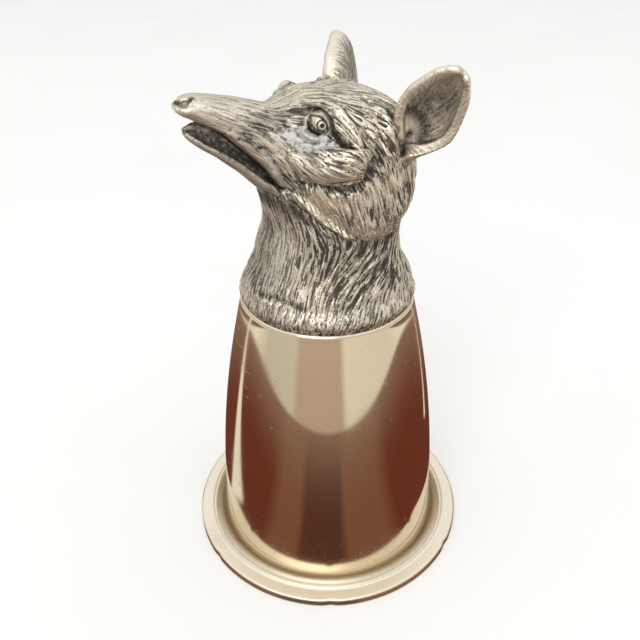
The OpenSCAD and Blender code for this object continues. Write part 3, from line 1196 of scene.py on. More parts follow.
CHEEK_SHADE: Path = (
    (21.4, 2.9, 45.4), (21.7, 1.7, 43.7), (22.1, 0.6, 41.5), (21.6, -1.3, 39.1), (19.9, -4.8, 37.9),
    (16.9, -8.7, 38.3),
)
LIP_FOLD: Path = (
    (8.7, -20.5, 46.9), (9.1, -19.5, 45.2), (9.5, -18.4, 43.2), (9.7, -17.3, 40.9), (9.4, -16.5, 38.8),
    (8.6, -15.8, 36.9),
)
LIP_CREASE: Path = (
    (8.3, -21.6, 47.5), (8.9, -20.1, 47.5), (9.6, -18.4, 45.2), (10.3, -17.0, 42.5), (10.4, -15.8, 39.6),
)
UPPER_LIP: Path = (
    (2.6, -36.6, 55.0), (3.4, -33.8, 53.8), (4.8, -30.2, 52.0), (5.9, -28.3, 51.2), (6.6, -26.6, 50.0),
    (6.8, -24.8, 48.0), (7.2, -22.3, 45.3), (7.7, -20.3, 43.2), (8.0, -18.5, 40.7), (8.0, -17.1, 38.2),
)
LOWER_LIP: Path = (
    (2.0, -37.2, 51.4), (2.8, -36.0, 50.3), (4.3, -33.2, 48.4), (5.1, -29.7, 45.8), (6.0, -26.2, 43.1),
    (6.8, -23.0, 40.4), (7.6, -20.4, 37.8), (8.5, -18.1, 36.8),
)
NOSTRIL: Path = (
    (0.4, -38.1, 57.9), (2.2, -37.5, 58.0), (2.5, -36.6, 58.1), (2.9, -35.8, 58.5), (2.7, -34.8, 58.8),
)
NOSE_HOLLOW: Path = ((1.8, -38.2, 57.4), (2.8, -37.0, 57.3), (3.8, -35.7, 57.6))
NOSE_RIM: Path = (
    (0.3, -38.8, 56.6), (2.9, -38.1, 56.5), (4.1, -36.6, 56.2), (4.5, -35.0, 56.6), (4.3, -34.1, 57.6),
)
MUZZLE_TOP: Path = ((0.0, -34.0, 59.8), (0.0, -26.0, 58.4), (0.0, -19.0, 56.2))
FOREHEAD: Path = ((2.0, -10.0, 56.6), (4.0, -7.0, 57.6), (7.0, -5.0, 58.0))
THROAT: Path = (
    (0.0, -18.8, 33.0), (3.3, -18.5, 33.1), (6.2, -17.4, 32.9), (9.4, -15.4, 31.5), (12.0, -13.2, 30.4),
)
RUFF_EDGE: Path = (
    (11.1, -14.4, 34.6), (12.8, -12.4, 33.0), (14.3, -10.9, 30.9), (16.4, -8.6, 28.4), (18.0, -6.4, 26.6),
    (19.4, -4.0, 25.0), (20.8, -0.6, 24.2), (20.9, 4.6, 23.6), (18.6, 10.6, 24.2), (14.8, 16.0, 26.6),
    (9.8, 20.4, 30.2), (0.0, 22.2, 32.5),
)
RUFF_FRINGE: Path = (
    (15.4, -10.4, 31.2), (18.4, -7.4, 28.8), (20.2, -4.4, 27.4), (21.4, -0.6, 26.6), (21.6, 4.6, 26.4),
    (19.4, 10.8, 27.0), (15.4, 16.2, 29.4),
)
UNDER_RUFF: Path = (
    (11.1, -13.9, 31.9), (13.6, -11.7, 29.1), (16.7, -8.7, 26.0), (18.5, -5.6, 23.9), (19.3, -2.6, 22.4),
    (19.4, 1.5, 21.9), (18.4, 6.8, 21.9), (15.2, 12.9, 22.3),
)
NECK_FRONT: Path = ((1.1, -18.0, 24.0), (1.1, -18.4, 20.3), (1.9, -20.1, 15.0), (2.6, -21.8, 10.7))
NECK_SIDE: Path = ((17.7, -8.2, 20.0), (19.0, -1.0, 17.0), (18.3, 7.1, 15.5))
ROLL_CREASE: Path = (
    (5.3, -23.4, 7.3), (10.2, -21.4, 7.7), (13.5, -19.2, 7.4), (15.8, -17.2, 7.1), (17.9, -14.7, 6.8),
)
ROLL_TOP: Path = (
    (0.0, -24.3, 5.7), (9.1, -22.2, 6.0), (14.6, -18.5, 5.4), (18.8, -14.5, 4.8), (21.9, -9.5, 4.5),
    (23.2, -3.6, 4.7), (22.7, 3.3, 5.1), (20.2, 10.9, 5.6), (13.6, 19.5, 5.3), (0.0, 24.2, 5.3),
)
ROLL_FOOT: Path = (
    (0.0, -25.3, 1.4), (13.2, -21.6, 1.4), (18.8, -16.9, 1.3), (22.5, -11.6, 1.2), (24.7, -5.5, 1.2),
    (25.3, 1.4, 1.3), (24.0, 8.3, 1.4), (20.2, 15.0, 1.4), (0.0, 25.2, 1.4),
)
RUFF_MID: Path = (
    (14.9, -10.0, 34.7), (18.8, -6.4, 34.4), (21.4, -2.2, 34.6), (22.5, 2.7, 36.7), (21.7, 7.6, 38.2),
)
NECK_LOCKS: Sequence[Path] = (
    ((15.5, 12.0, 19.5), (18.3, 7.1, 17.5), (20.0, 1.0, 15.1), (21.0, -3.2, 10.9)),
    ((17.6, 9.0, 16.7), (19.7, 4.5, 14.2), (21.4, 0.7, 10.2)),
    ((19.4, 1.9, 19.0), (19.5, -1.8, 17.4), (19.2, -6.0, 14.9)),
    ((15.2, 13.8, 13.1), (18.4, 9.6, 12.4), (20.0, 6.4, 11.6)),
    ((20.5, -4.8, 11.4), (21.4, -7.4, 6.9)),
    ((17.7, -8.2, 19.0), (17.2, -10.2, 16.3), (17.1, -12.3, 12.3)),
)
NECK_FURROWS: Sequence[Path] = (
    ((19.0, 4.3, 19.8), (19.5, -0.4, 18.2), (19.5, -5.4, 14.5)),
    ((18.5, 7.0, 16.1), (20.4, 1.5, 13.3), (21.5, -2.7, 9.5)),
    ((18.1, 9.3, 13.9), (20.4, 5.0, 11.4), (21.7, 1.7, 9.0)),
)
EAR_RIM: Path = (
    (20.0, 9.6, 58.3), (22.9, 11.3, 62.0), (26.0, 13.3, 64.8), (28.8, 15.6, 65.8), (30.8, 17.6, 65.6),
    (31.9, 19.0, 63.6), (31.4, 19.7, 60.5),
)
EAR_INSIDE: Path = ((21.4, 16.0, 56.4), (24.0, 18.0, 58.0), (26.6, 19.0, 60.0))
EAR_DARK: Path = (
    (19.6, 11.4, 55.2), (19.2, 13.6, 54.5), (19.9, 15.8, 52.7), (20.5, 16.6, 50.1), (20.3, 15.4, 47.8),
)
EAR_UPPER: Path = ((22.4, 10.8, 58.7), (24.8, 12.8, 61.1), (27.6, 15.1, 63.2), (29.6, 16.7, 64.2))
EAR_LOW: Path = ((22.2, 12.4, 45.7), (23.6, 14.9, 47.3), (26.1, 17.1, 48.1), (28.0, 18.9, 51.2))
MUZZLE_SIDE: Path = ((7.6, -23.7, 50.5), (7.9, -21.2, 52.1), (7.5, -16.9, 52.9), (6.7, -14.5, 53.9))

# Single places of the left side
CORNER_PITS: Path = ((16.4, -6.8, 50.3), (16.2, -5.8, 51.0), (16.9, -6.7, 49.5))
LIP_PITS: Path = ((5.6, -28.6, 51.0), (6.2, -27.2, 50.3), (6.8, -25.7, 49.5), (6.4, -27.4, 51.8))
MOUTH_BEAD: Point = (6.4, -16.6, 36.2)
EAR_PIT: Point = (18.1, 12.2, 50.4)
EAR_HOLE: Point = (18.8, 13.2, 48.8)
EAR_SPOT: Point = (22.6, 17.4, 56.4)
RUFF_BEAD: Point = (19.4, -3.9, 24.8)
NOSE_TIP: Point = (0.0, -37.6, 57.0)

# Painted shade along paths, over tarnished creases, and painted highlights where the value is negative:
# path, half width, value
SHADES: Sequence[tuple[Path, float, float]] = (
    (MUZZLE_TOP, 4.5, 0.05), (FOREHEAD, 4.0, -0.2), (MUZZLE_SIDE, 2.4, 0.38), (NECK_FRONT, 5.0, 0.4),
    (NECK_SIDE, 6.0, 0.3), (SOCKET, 0.9, 0.85), (SOCKET_FRONT, 1.2, 0.6), (LID_FOLD, 0.35, 0.7),
    (NOSTRIL, 0.7, 1.3), (NOSE_HOLLOW, 0.7, 0.55), (CHEEK_SHADE, 1.6, 0.7), (TUFT_EDGE, 0.8, 0.5),
    (THROAT, 3.2, 0.75), (UNDER_RUFF, 2.4, 0.5), (ROLL_CREASE, 1.0, 0.5), (ROLL_TOP, 1.6, -0.2),
    (ROLL_FOOT, 1.0, 0.45), (RUFF_MID, 3.4, -0.5), (EAR_INSIDE, 4.5, 0.5), (EAR_DARK, 2.0, 0.75),
    (EAR_UPPER, 1.4, 0.8), (BROW_SPLIT, 0.5, 0.6), (LIP_CREASE, 0.5, 0.75), (TUFT_CREST, 2.2, -0.2),
    (RUFF_FRINGE, 2.6, -0.45), (BROW_TAIL, 0.8, -0.25), (EAR_RIM, 2.6, -0.9), (EAR_LOW, 1.0, -0.25),
    (UNDER_EYE, 1.2, -0.15), (LID_ROLL, 0.6, -0.3), (NOSE_RIM, 0.6, -0.2), (LIP_FOLD, 0.6, -0.2),
    (UPPER_LIP, 0.6, -0.3), (LOWER_LIP, 0.5, -0.4),
)
# Round places of painted shade in pits and holes, and painted highlights where the value is negative: place,
# half width, value
SPOTS: Sequence[tuple[Point, float, float]] = (
    (EAR_PIT, 3.2, -0.15), (EAR_SPOT, 0.9, -0.6), (EAR_HOLE, 0.8, 1.3),
    (MOUTH_BEAD, 0.6, -0.5), (CORNER_PITS[0], 0.6, 0.95), (CORNER_PITS[1], 0.5, 0.9),
    (CORNER_PITS[2], 0.5, 0.8), (LIP_PITS[0], 0.5, 0.8), (LIP_PITS[1], 0.5, 0.8), (LIP_PITS[2], 0.5, 0.8),
    (LIP_PITS[3], 0.4, 0.6),
)

# Which way the fur lies: a place on the left side, a direction from root to tip, and how bold it is
FUR: Sequence[tuple[Point, Point, float]] = (
    ((0, -33, 59), (0.0, 1.0, 0.0), 0.15), ((6, -29, 55), (0.25, 0.9, -0.36), 0.28),
    ((6, -30, 52), (0.2, 0.88, -0.42), 0.22), ((8, -22, 53), (0.27, 0.92, -0.28), 0.4),
    ((10, -20, 48), (0.29, 0.69, -0.66), 0.5), ((0, -14, 55), (0.0, 1.0, 0.3), 0.4),
    ((4, -6, 57), (0.3, 0.9, 0.3), 0.45), ((0, 4, 58), (0.0, 1.0, 0.0), 0.5),
    ((8, -3, 57), (0.7, 0.7, 0.0), 0.5), ((10, -9, 57), (0.75, 0.58, 0.3), 0.5),
    ((15, -5, 56), (0.8, 0.5, -0.3), 0.6), ((19, -3, 52), (0.65, 0.4, -0.65), 0.7),
    ((21, -2, 49), (0.44, 0.5, -0.74), 0.8), ((6, 6, 58), (0.6, 0.8, 0.0), 0.55),
    ((15, 4, 54), (0.55, 0.78, -0.3), 0.65), ((18, 4, 51), (0.55, 0.65, -0.5), 0.75),
    ((21, 5, 47), (0.44, 0.5, -0.75), 0.8), ((12, -15, 45), (0.41, 0.64, -0.65), 0.6),
    ((19, -11, 45), (0.7, 0.5, -0.5), 0.65), ((22, -5, 46), (0.43, 0.86, -0.3), 0.7),
    ((14, -12, 37), (0.1, 0.3, -0.95), 0.75), ((11, -14, 36), (0.35, 0.55, -0.76), 0.6),
    ((17, -8, 32), (0.32, 0.43, -0.84), 0.7), ((21, -3, 32), (0.14, 0.18, -0.97), 0.85),
    ((22, 5, 32), (0.0, 0.2, -0.98), 0.9), ((20, 12, 35), (-0.13, 0.4, -0.9), 0.8),
    ((21, 7, 43), (0.25, 0.3, -0.92), 0.8), ((0, 20, 50), (0.0, 0.5, -0.85), 0.6),
    ((10, 19, 42), (0.0, 0.3, -0.95), 0.75), ((0, 22, 36), (0.0, 0.1, -1.0), 0.8),
    ((4, -19, 18), (0.0, -0.12, -1.0), 0.35), ((14, -15, 16), (0.0, -0.27, -0.96), 0.6),
    ((20, 0, 15), (0.2, -0.75, -0.6), 0.85), ((20, 5, 11), (0.4, -0.7, -0.55), 0.85),
    ((15, 14, 14), (0.2, -0.4, -0.85), 0.8), ((0, 20, 15), (0.0, 0.0, -1.0), 0.7),
    ((24, 5, 3), (0.1, -0.4, -0.9), 0.55), ((19, -16, 3), (0.2, -0.3, -0.9), 0.55),
    ((0, -25, 3), (0.15, -0.1, -0.95), 0.5), ((0, 25, 3), (0.1, 0.0, -0.95), 0.5),
    ((7, -18, 32), (0.2, 0.2, -0.96), 0.5), ((0, -24, 38), (0.0, 0.6, -0.8), 0.2),
    ((24, 16, 58), (0.65, 0.3, 0.7), 0.2), ((28, 20, 56), (0.65, 0.3, 0.7), 0.45),
    ((22, 20, 52), (0.7, 0.3, 0.65), 0.5), ((24, 24, 57), (-0.33, -0.62, 0.57), 0.7),
    ((21, 13, 61), (0.37, -0.79, 0.0), 0.8),
)


@dataclass
class FoxHead:
    """Cast head with its jaw and ears: shaped, combed with fur, rubbed and given painted shade."""

    voxel: float = 0.32
    seam_fill: float = 0.12
    seam_near: float = 0.5
    seam_far: float = 2.0
    facet_passes: int = 18
    head_passes: int = 30
    pieces: Sequence[str] = ("head_casting", "lower_jaw", "left_ear", "right_ear")
    rays: int = 20
    ray_reach: float = 9.0
    ray_lift: float = 0.35
    ray_every: int = 9
    socket_r: float = 3.4
    socket_w: float = 0.5
    level_passes: int = 10
    fur_soft: float = 4.0
    boldness: float = 1.25
    ear_boldness: float = 0.6
    stroke_w: float = 0.52
    stroke_l: float = 2.4
    stroke_h: float = 0.15
    lock_w: float = 1.3
    lock_l: float = 5.0
    lock_h: float = 0.2
    foot_z: float = 0.4
    # Amounts of painted shade: from shelter, on the jaw inside the mouth and outside it, and at most on the
    # ears
    shelter_dark: float = 0.85
    jaw_inside: float = 0.75
    jaw_outside: float = 0.45
    ear_most: float = 0.55
    mottle: float = 1.5
    mottle_cell: float = 0.65
    seed: int = 11
    clay: Clay = field(init=False)
    groove: Array = field(init=False)
    bold: Array = field(init=False)
    way: Array = field(init=False)

    def build(self) -> None:
        """Builds and finishes the four pieces."""
        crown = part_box("head_casting")[0].z
        self.clay = Clay([remeshed(node, self.voxel) for node in self.pieces], crown)
        log.info("casting: %d points", len(self.clay.co))
        self.settle()
        self.model()
        self.lay()
        self.comb()
        values = self.wear_and_shade()
        names = [node + "_plated" for node in self.pieces]
        material = CAST_FUR.material()
        for piece, node in zip(self.clay.release(names, values), self.pieces):
            dress(piece, Slot.FUR, material, node)

    def settle(self) -> None:
        """Smooths the solids' facets and closes the solder gaps between the pieces."""
        clay = self.clay
        keep = np.zeros(len(clay.co))
        for number in range(len(self.pieces)):
            others = np.nonzero(clay.piece != number)[0][::3]
            tree = KDTree(len(others))
            for k in others:
                tree.insert(clay.co[k], int(k))
            tree.balance()
            mine = np.nonzero(clay.piece == number)[0]
            theirs = clay.co[others]
            low, high = theirs.min(axis=0) - self.seam_far, theirs.max(axis=0) + self.seam_far
            mine = mine[((clay.co[mine] > low) & (clay.co[mine] < high)).all(axis=1)]
            gap = np.array([tree.find(clay.co[k])[2] for k in mine])
            keep[mine] = 1.0 - smoothstep(self.seam_near, self.seam_far, gap)
        foot = clay.co[:, 2] < self.foot_z
        keep[foot] = 1.0
        clay.soften(self.facet_passes, keep)
        clay.soften(self.head_passes, np.where(self.of("head_casting"), keep, 1.0))
        clay.co += np.where(foot, 0.0, self.seam_fill)[:, None] * clay.normals()

    def of(self, piece: str) -> Array:
        """Which points belong to a piece."""
        return self.clay.piece == self.pieces.index(piece)

    def press(self, trail: Trail, shape: Callable[[Array, Array, Array], Array]) -> None:
        """Moves the skin along its normals near a path.

        Args:
            trail: the path.
            shape: gives the move from the distance, the height above the path and the share along it.
        """
        folded = self.clay.folded()
        near = trail.near(folded)
        normal = self.clay.normals()[near]
        offset, way, share = trail.measure(folded[near])
        mirrored = normal * np.stack([self.clay.side[near], np.ones(len(near)), np.ones(len(near))], axis=1)
        across = np.cross(mirrored, way)
        across /= np.maximum(np.linalg.norm(across, axis=1, keepdims=True), 1e-9)
        above = np.einsum("ij,ij->i", offset, across)
        distance = np.linalg.norm(offset, axis=1)
        self.clay.co[near] += shape(distance, above, share)[:, None] * normal

    def crease(self, path: Path, width: float, height: float, fade: float = 0.2) -> None:
        """Raises a fold along a path, or sinks a groove where height is negative.

        Args:
            path: its line.
            width: its half width.
            height: its height.
            fade: share of the length over which its ends fade.
        """
        def shape(distance: Array, above: Array, share: Array) -> Array:
            """Height at a distance from the path, fading at its ends."""
            ends = smoothstep(0.0, fade, share) * (1.0 - smoothstep(1.0 - fade, 1.0, share))
            return height * ends * np.exp(-((distance / width) ** 2))

        self.press(Trail(path, width * 3.0), shape)

    def ledge(
        self, path: Path, rise: float, rise_w: float, sink: float, sink_w: float, fade: float = 0.12
    ) -> None:
        """Makes an overhanging edge along a path.

        Args:
            path: its line.
            rise: how far the skin above it comes out.
            rise_w: width of that swell.
            sink: how far the skin below it goes in.
            sink_w: width of that hollow.
            fade: share of the length over which its start fades in.
        """
        def shape(distance: Array, above: Array, share: Array) -> Array:
            """Height on either side of the path, fading at its ends."""
            ends = smoothstep(0.0, fade, share) * (1.0 - smoothstep(0.9, 1.0, share))
            upper = rise * np.exp(-((distance / rise_w) ** 2))
            lower = -sink * np.exp(-((distance / sink_w) ** 2))
            return ends * (lower + (upper - lower) * smoothstep(-0.3, 0.3, above))

        self.press(Trail(path, 3.0 * max(rise_w, sink_w)), shape)

    @staticmethod
    def dot(at: Point) -> Path:
        """Path so short that it stands for one place."""
        return (at, (at[0], at[1], at[2] + 0.01))

    def dab(self, at: Point, width: float, height: float) -> None:
        """Raises a round spot, or sinks it where height is negative.

        Args:
            at: its place.
            width: its half width.
            height: its height.
        """
        trail = Trail(self.dot(at), width * 3.0)
        self.press(trail, lambda distance, above, share: height * np.exp(-((distance / width) ** 2)))

    def eye_at(self) -> Point:
        """Centre of the left eye's bead above the crown."""
        low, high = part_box("left_eye")
        middle = (low + high) / 2.0
        return (middle.x / MM, middle.y / MM, (middle.z - self.clay.crown) / MM)

    def model(self) -> None:
        """Presses the lines of the face, ruff and neck into the skin."""
        self.ledge(BROW_EDGE, 0.6, 2.0, 1.3, 1.6, 0.3)
        self.crease(BROW_TAIL, 0.8, 0.45)
        self.crease(BROW_SPLIT, 0.6, -0.5)
        self.ledge(TUFT_EDGE, 0.5, 2.4, 1.2, 1.5, 0.35)
        self.ledge(RUFF_EDGE, 0.7, 2.0, 0.9, 1.5)
        self.crease(UNDER_EYE, 1.5, 0.4)
        self.crease(LID_ROLL, 0.6, 0.4)
        self.crease(LID_FOLD, 0.4, -0.4)
        self.crease(LIP_FOLD, 0.6, -0.5)
        self.crease(UPPER_LIP, 0.7, 0.35, 0.1)
        self.crease(LOWER_LIP, 0.6, 0.3, 0.1)
        self.crease(NOSE_HOLLOW, 0.7, -0.6)
        self.crease(NOSE_RIM, 0.7, 0.15)
        self.crease(NOSTRIL, 0.55, -0.9, 0.15)
        self.crease(ROLL_CREASE, 1.2, -0.9, 0.35)
        self.crease(ROLL_TOP, 1.8, 0.4, 0.02)
        self.crease(UNDER_RUFF, 2.0, -0.5)
        for lock in NECK_LOCKS:
            self.crease(lock, 0.7, 0.4, 0.3)
        for furrow in NECK_FURROWS:
            self.crease(furrow, 0.6, -0.5, 0.3)
        self.crease(EAR_RIM, 1.8, 0.6)
        for pit in (*CORNER_PITS, *LIP_PITS):
            self.dab(pit, 0.5, -0.45)
        self.dab(EAR_PIT, 2.6, 1.3)
        self.dab(EAR_HOLE, 0.8, -1.2)
        self.dab(RUFF_BEAD, 0.7, 0.5)
        self.dab(MOUTH_BEAD, 0.7, 0.5)
        self.clay.soften(2, np.zeros(len(self.clay.co)))

    def along(self, paths: Sequence[tuple[Path, float]]) -> Array:
        """Share by which each point lies on one of some paths.

        Args:
            paths: paths with their half widths.

        Returns:
            One share per point.
        """
        folded = self.clay.folded()
        total = np.zeros(len(folded))
        for path, width in paths:
            trail = Trail(path, width * 2.0)
            near = trail.near(folded)
            distance = np.linalg.norm(trail.measure(folded[near])[0], axis=1)
            total[near] = np.maximum(total[near], 1.0 - smoothstep(width * 0.5, width * 1.5, distance))
        return total

    def spots(self, places: Sequence[tuple[Point, float]]) -> Array:
        """Share by which each point lies on one of some round spots.

        Args:
            places: centres with their radii.

        Returns:
            One share per point.
        """
        folded = self.clay.folded()
        total = np.zeros(len(folded))
        for place, width in places:
            distance = np.linalg.norm(folded - place, axis=1)
            total = np.maximum(total, 1.0 - smoothstep(width * 0.7, width * 1.2, distance))
        return total

    def lay(self) -> None:
        """Works out which way the fur lies and how bold it is."""
        clay = self.clay
        folded = clay.folded()
        total = np.zeros_like(folded)
        bold = np.zeros(len(folded))
        weights = np.zeros(len(folded))
        for place, way, strength in FUR:
            away = folded - place
            weight = 1.0 / (np.einsum("ij,ij->i", away, away) + self.fur_soft) ** 2
            total += weight[:, None] * np.array(way)
            bold += weight * strength
            weights += weight
        total[:, 0] *= clay.side
        normal = clay.normals()
        total -= np.einsum("ij,ij->i", total, normal)[:, None] * normal
        self.way = total / np.maximum(np.linalg.norm(total, axis=1, keepdims=True), 1e-9)
        lines = (
            (EAR_RIM, 1.2), (UNDER_EYE, 1.2), (LID_FOLD, 1.0), (LIP_FOLD, 0.7), (UPPER_LIP, 0.6),
            (LOWER_LIP, 0.8), (NOSTRIL, 1.2),
        )
        places = ((self.eye_at(), 4.4), (NOSE_TIP, 2.8), (EAR_PIT, 5.0))
        smooth = np.maximum(self.along(lines), self.spots(places))
        smooth = np.where(self.of("lower_jaw"), np.maximum(smooth, 0.8), smooth)
        ears = self.of("left_ear") | self.of("right_ear")
        shared = np.where(ears, self.ear_boldness, self.boldness) * bold / weights
        self.bold = (1.0 - smooth) * np.minimum(shared, 1.0)

    def streaks(self, scale: float, length: float, seed: int) -> Array:
        """Strokes that run with the fur.

        Args:
            scale: width of a stroke.
            length: half length of a stroke.
            seed: number of the random table.

        Returns:
            One value per point, of zero mean and unit spread.
        """
        speckle = Speckle(seed)
        steps = max(2, int(length / scale * 1.4))
        total = np.zeros(len(self.clay.co), np.float32)
        for k in range(-steps, steps + 1):
            share = k / (steps + 1)
            total += (1.0 - share * share) * speckle((self.clay.co + self.way * (length * share)) / scale)
        return (total - total.mean()) / total.std()

    def comb(self) -> None:
        """Carves the fur: fine strokes everywhere and deeper locks where it is bold."""
        clay = self.clay
        deep = smoothstep(0.5, 0.85, self.bold)
        fine = self.streaks(self.stroke_w, self.stroke_l, self.seed)
        locks = self.streaks(self.lock_w, self.lock_l, self.seed + 1)
        height = self.stroke_h * np.tanh(1.4 * fine) + self.lock_h * deep * np.tanh(1.2 * locks)
        z = clay.co[:, 2].copy()
        clay.co += (self.bold * height)[:, None] * clay.normals()
        clay.co[:, 2] = np.where(z < self.foot_z, np.maximum(clay.co[:, 2], 0.0), clay.co[:, 2])
        low = 0.75 * smoothstep(0.45, 1.15, -fine) + 0.15 * deep * smoothstep(0.3, 1.5, -locks)
        self.groove = self.bold * low

    def shelter(self) -> Array:
        """Share of the sky that the casting itself hides from each point.

        Returns:
            One share per point.
        """
        clay = self.clay
        tree = BVHTree.FromPolygons(clay.co.tolist(), clay.quads.tolist())
        normal = clay.blurred(clay.normals(), 6)
        normal /= np.maximum(np.linalg.norm(normal, axis=1, keepdims=True), 1e-9)
        chance = np.random.default_rng(self.seed)
        picked = chance.permutation(len(clay.co))[:: self.ray_every]
        around = chance.normal(size=(self.rays, 3))
        around /= np.linalg.norm(around, axis=1, keepdims=True)
        points = KDTree(len(picked))
        hidden = np.zeros(len(picked))
        for number, k in enumerate(picked):
            start = Vector(clay.co[k] + self.ray_lift * normal[k])
            points.insert(Vector(clay.co[k]), number)
            for way in around + normal[k]:
                hit = tree.ray_cast(start, Vector(way), self.ray_reach)
                hidden[number] += hit[0] is not None
        points.balance()
        hidden /= self.rays
        found = np.array([[n for _, n, _ in points.find_n(Vector(p), 3)] for p in clay.co])
        return clay.blurred(hidden[found].mean(axis=1), 3)

    def joint_and_socket_shade(self) -> Array:
        """Dark ring at the bead's joint, with painted shade in it below the bead and in a soft field above
        it.

        Returns:
            One value per point.
        """
        away = self.clay.folded() - self.eye_at()
        distance = np.linalg.norm(away, axis=1)
        below = 1.0 - smoothstep(-1.5, 1.5, away[:, 2])
        ring = (0.4 + 0.5 * below) * np.exp(-(((distance - self.socket_r) / self.socket_w) ** 2))
        field_above = 0.4 * (1.0 - smoothstep(4.5, 6.5, distance)) * smoothstep(-2.0, 1.0, away[:, 2])
        return np.maximum(ring, field_above)

    def toned(self, hollow: Array) -> Array:
        """Adds the painted shade and painted highlights of SHADES and SPOTS.

        Args:
            hollow: darkness so far, from shelter, the jaw and the eye's socket.

        Returns:
            The darkness with those places.
        """
        folded = self.clay.folded()
        for path, width, value in (*SHADES, *((self.dot(at), width, value) for at, width, value in SPOTS)):
            trail = Trail(path, width * 2.5)
            near = trail.near(folded)
            distance = np.linalg.norm(trail.measure(folded[near])[0], axis=1)
            amount = value * np.exp(-((distance / width) ** 2))
            if value > 0.0:
                hollow[near] = np.maximum(hollow[near], amount)
            else:
                hollow[near] += amount
        return hollow

    def wear_and_shade(self) -> dict[Grain, Array]:
        """Works out the painted shade and highlights, the tarnished recesses, and where the casting is
        rubbed.

        Returns:
            The attributes of all points.
        """
        clay = self.clay
        # Painted shade where the casting hides the sky, over its tarnished recesses
        hollow = self.shelter_dark * smoothstep(0.12, 0.75, self.shelter())
        normal = clay.normals()
        jaw = self.of("lower_jaw")
        inside = jaw & (normal[:, 2] > 0.0)
        # Painted shade on the jaw: a set darkness on its upward faces inside the mouth and a lesser one on
        # the rest
        hollow = np.where(jaw, np.where(inside, self.jaw_inside, self.jaw_outside), hollow)
        ears = self.of("left_ear") | self.of("right_ear")
        # The ears' painted shade is capped; the eye's socket adds its own painted shade
        hollow = np.maximum(np.where(ears, np.minimum(hollow, self.ear_most), hollow), self.joint_and_socket_shade())
        hollow = self.toned(hollow)
        level = clay.blurred(clay.co, self.level_passes)
        out = np.einsum("ij,ij->i", clay.co - level, normal)
        cool = self.along(((UNDER_EYE, 2.0), (LID_ROLL, 1.2), (LIP_FOLD, 0.9)))
        cool = np.maximum(cool, self.spots(((self.eye_at(), 5.0),)))
        cool = np.where(inside, 0.5, cool)
        hollow += self.mottle * cool * (Speckle(self.seed + 3)(clay.co / self.mottle_cell) - 0.5)
        return {
            Grain.GROOVE: self.groove,
            Grain.HOLLOW: hollow,
            Grain.WORN: smoothstep(-0.02, 0.16, out),
            Grain.BOLD: self.bold,
            Grain.COOL: cool,
            Grain.WAY: self.way,
        }


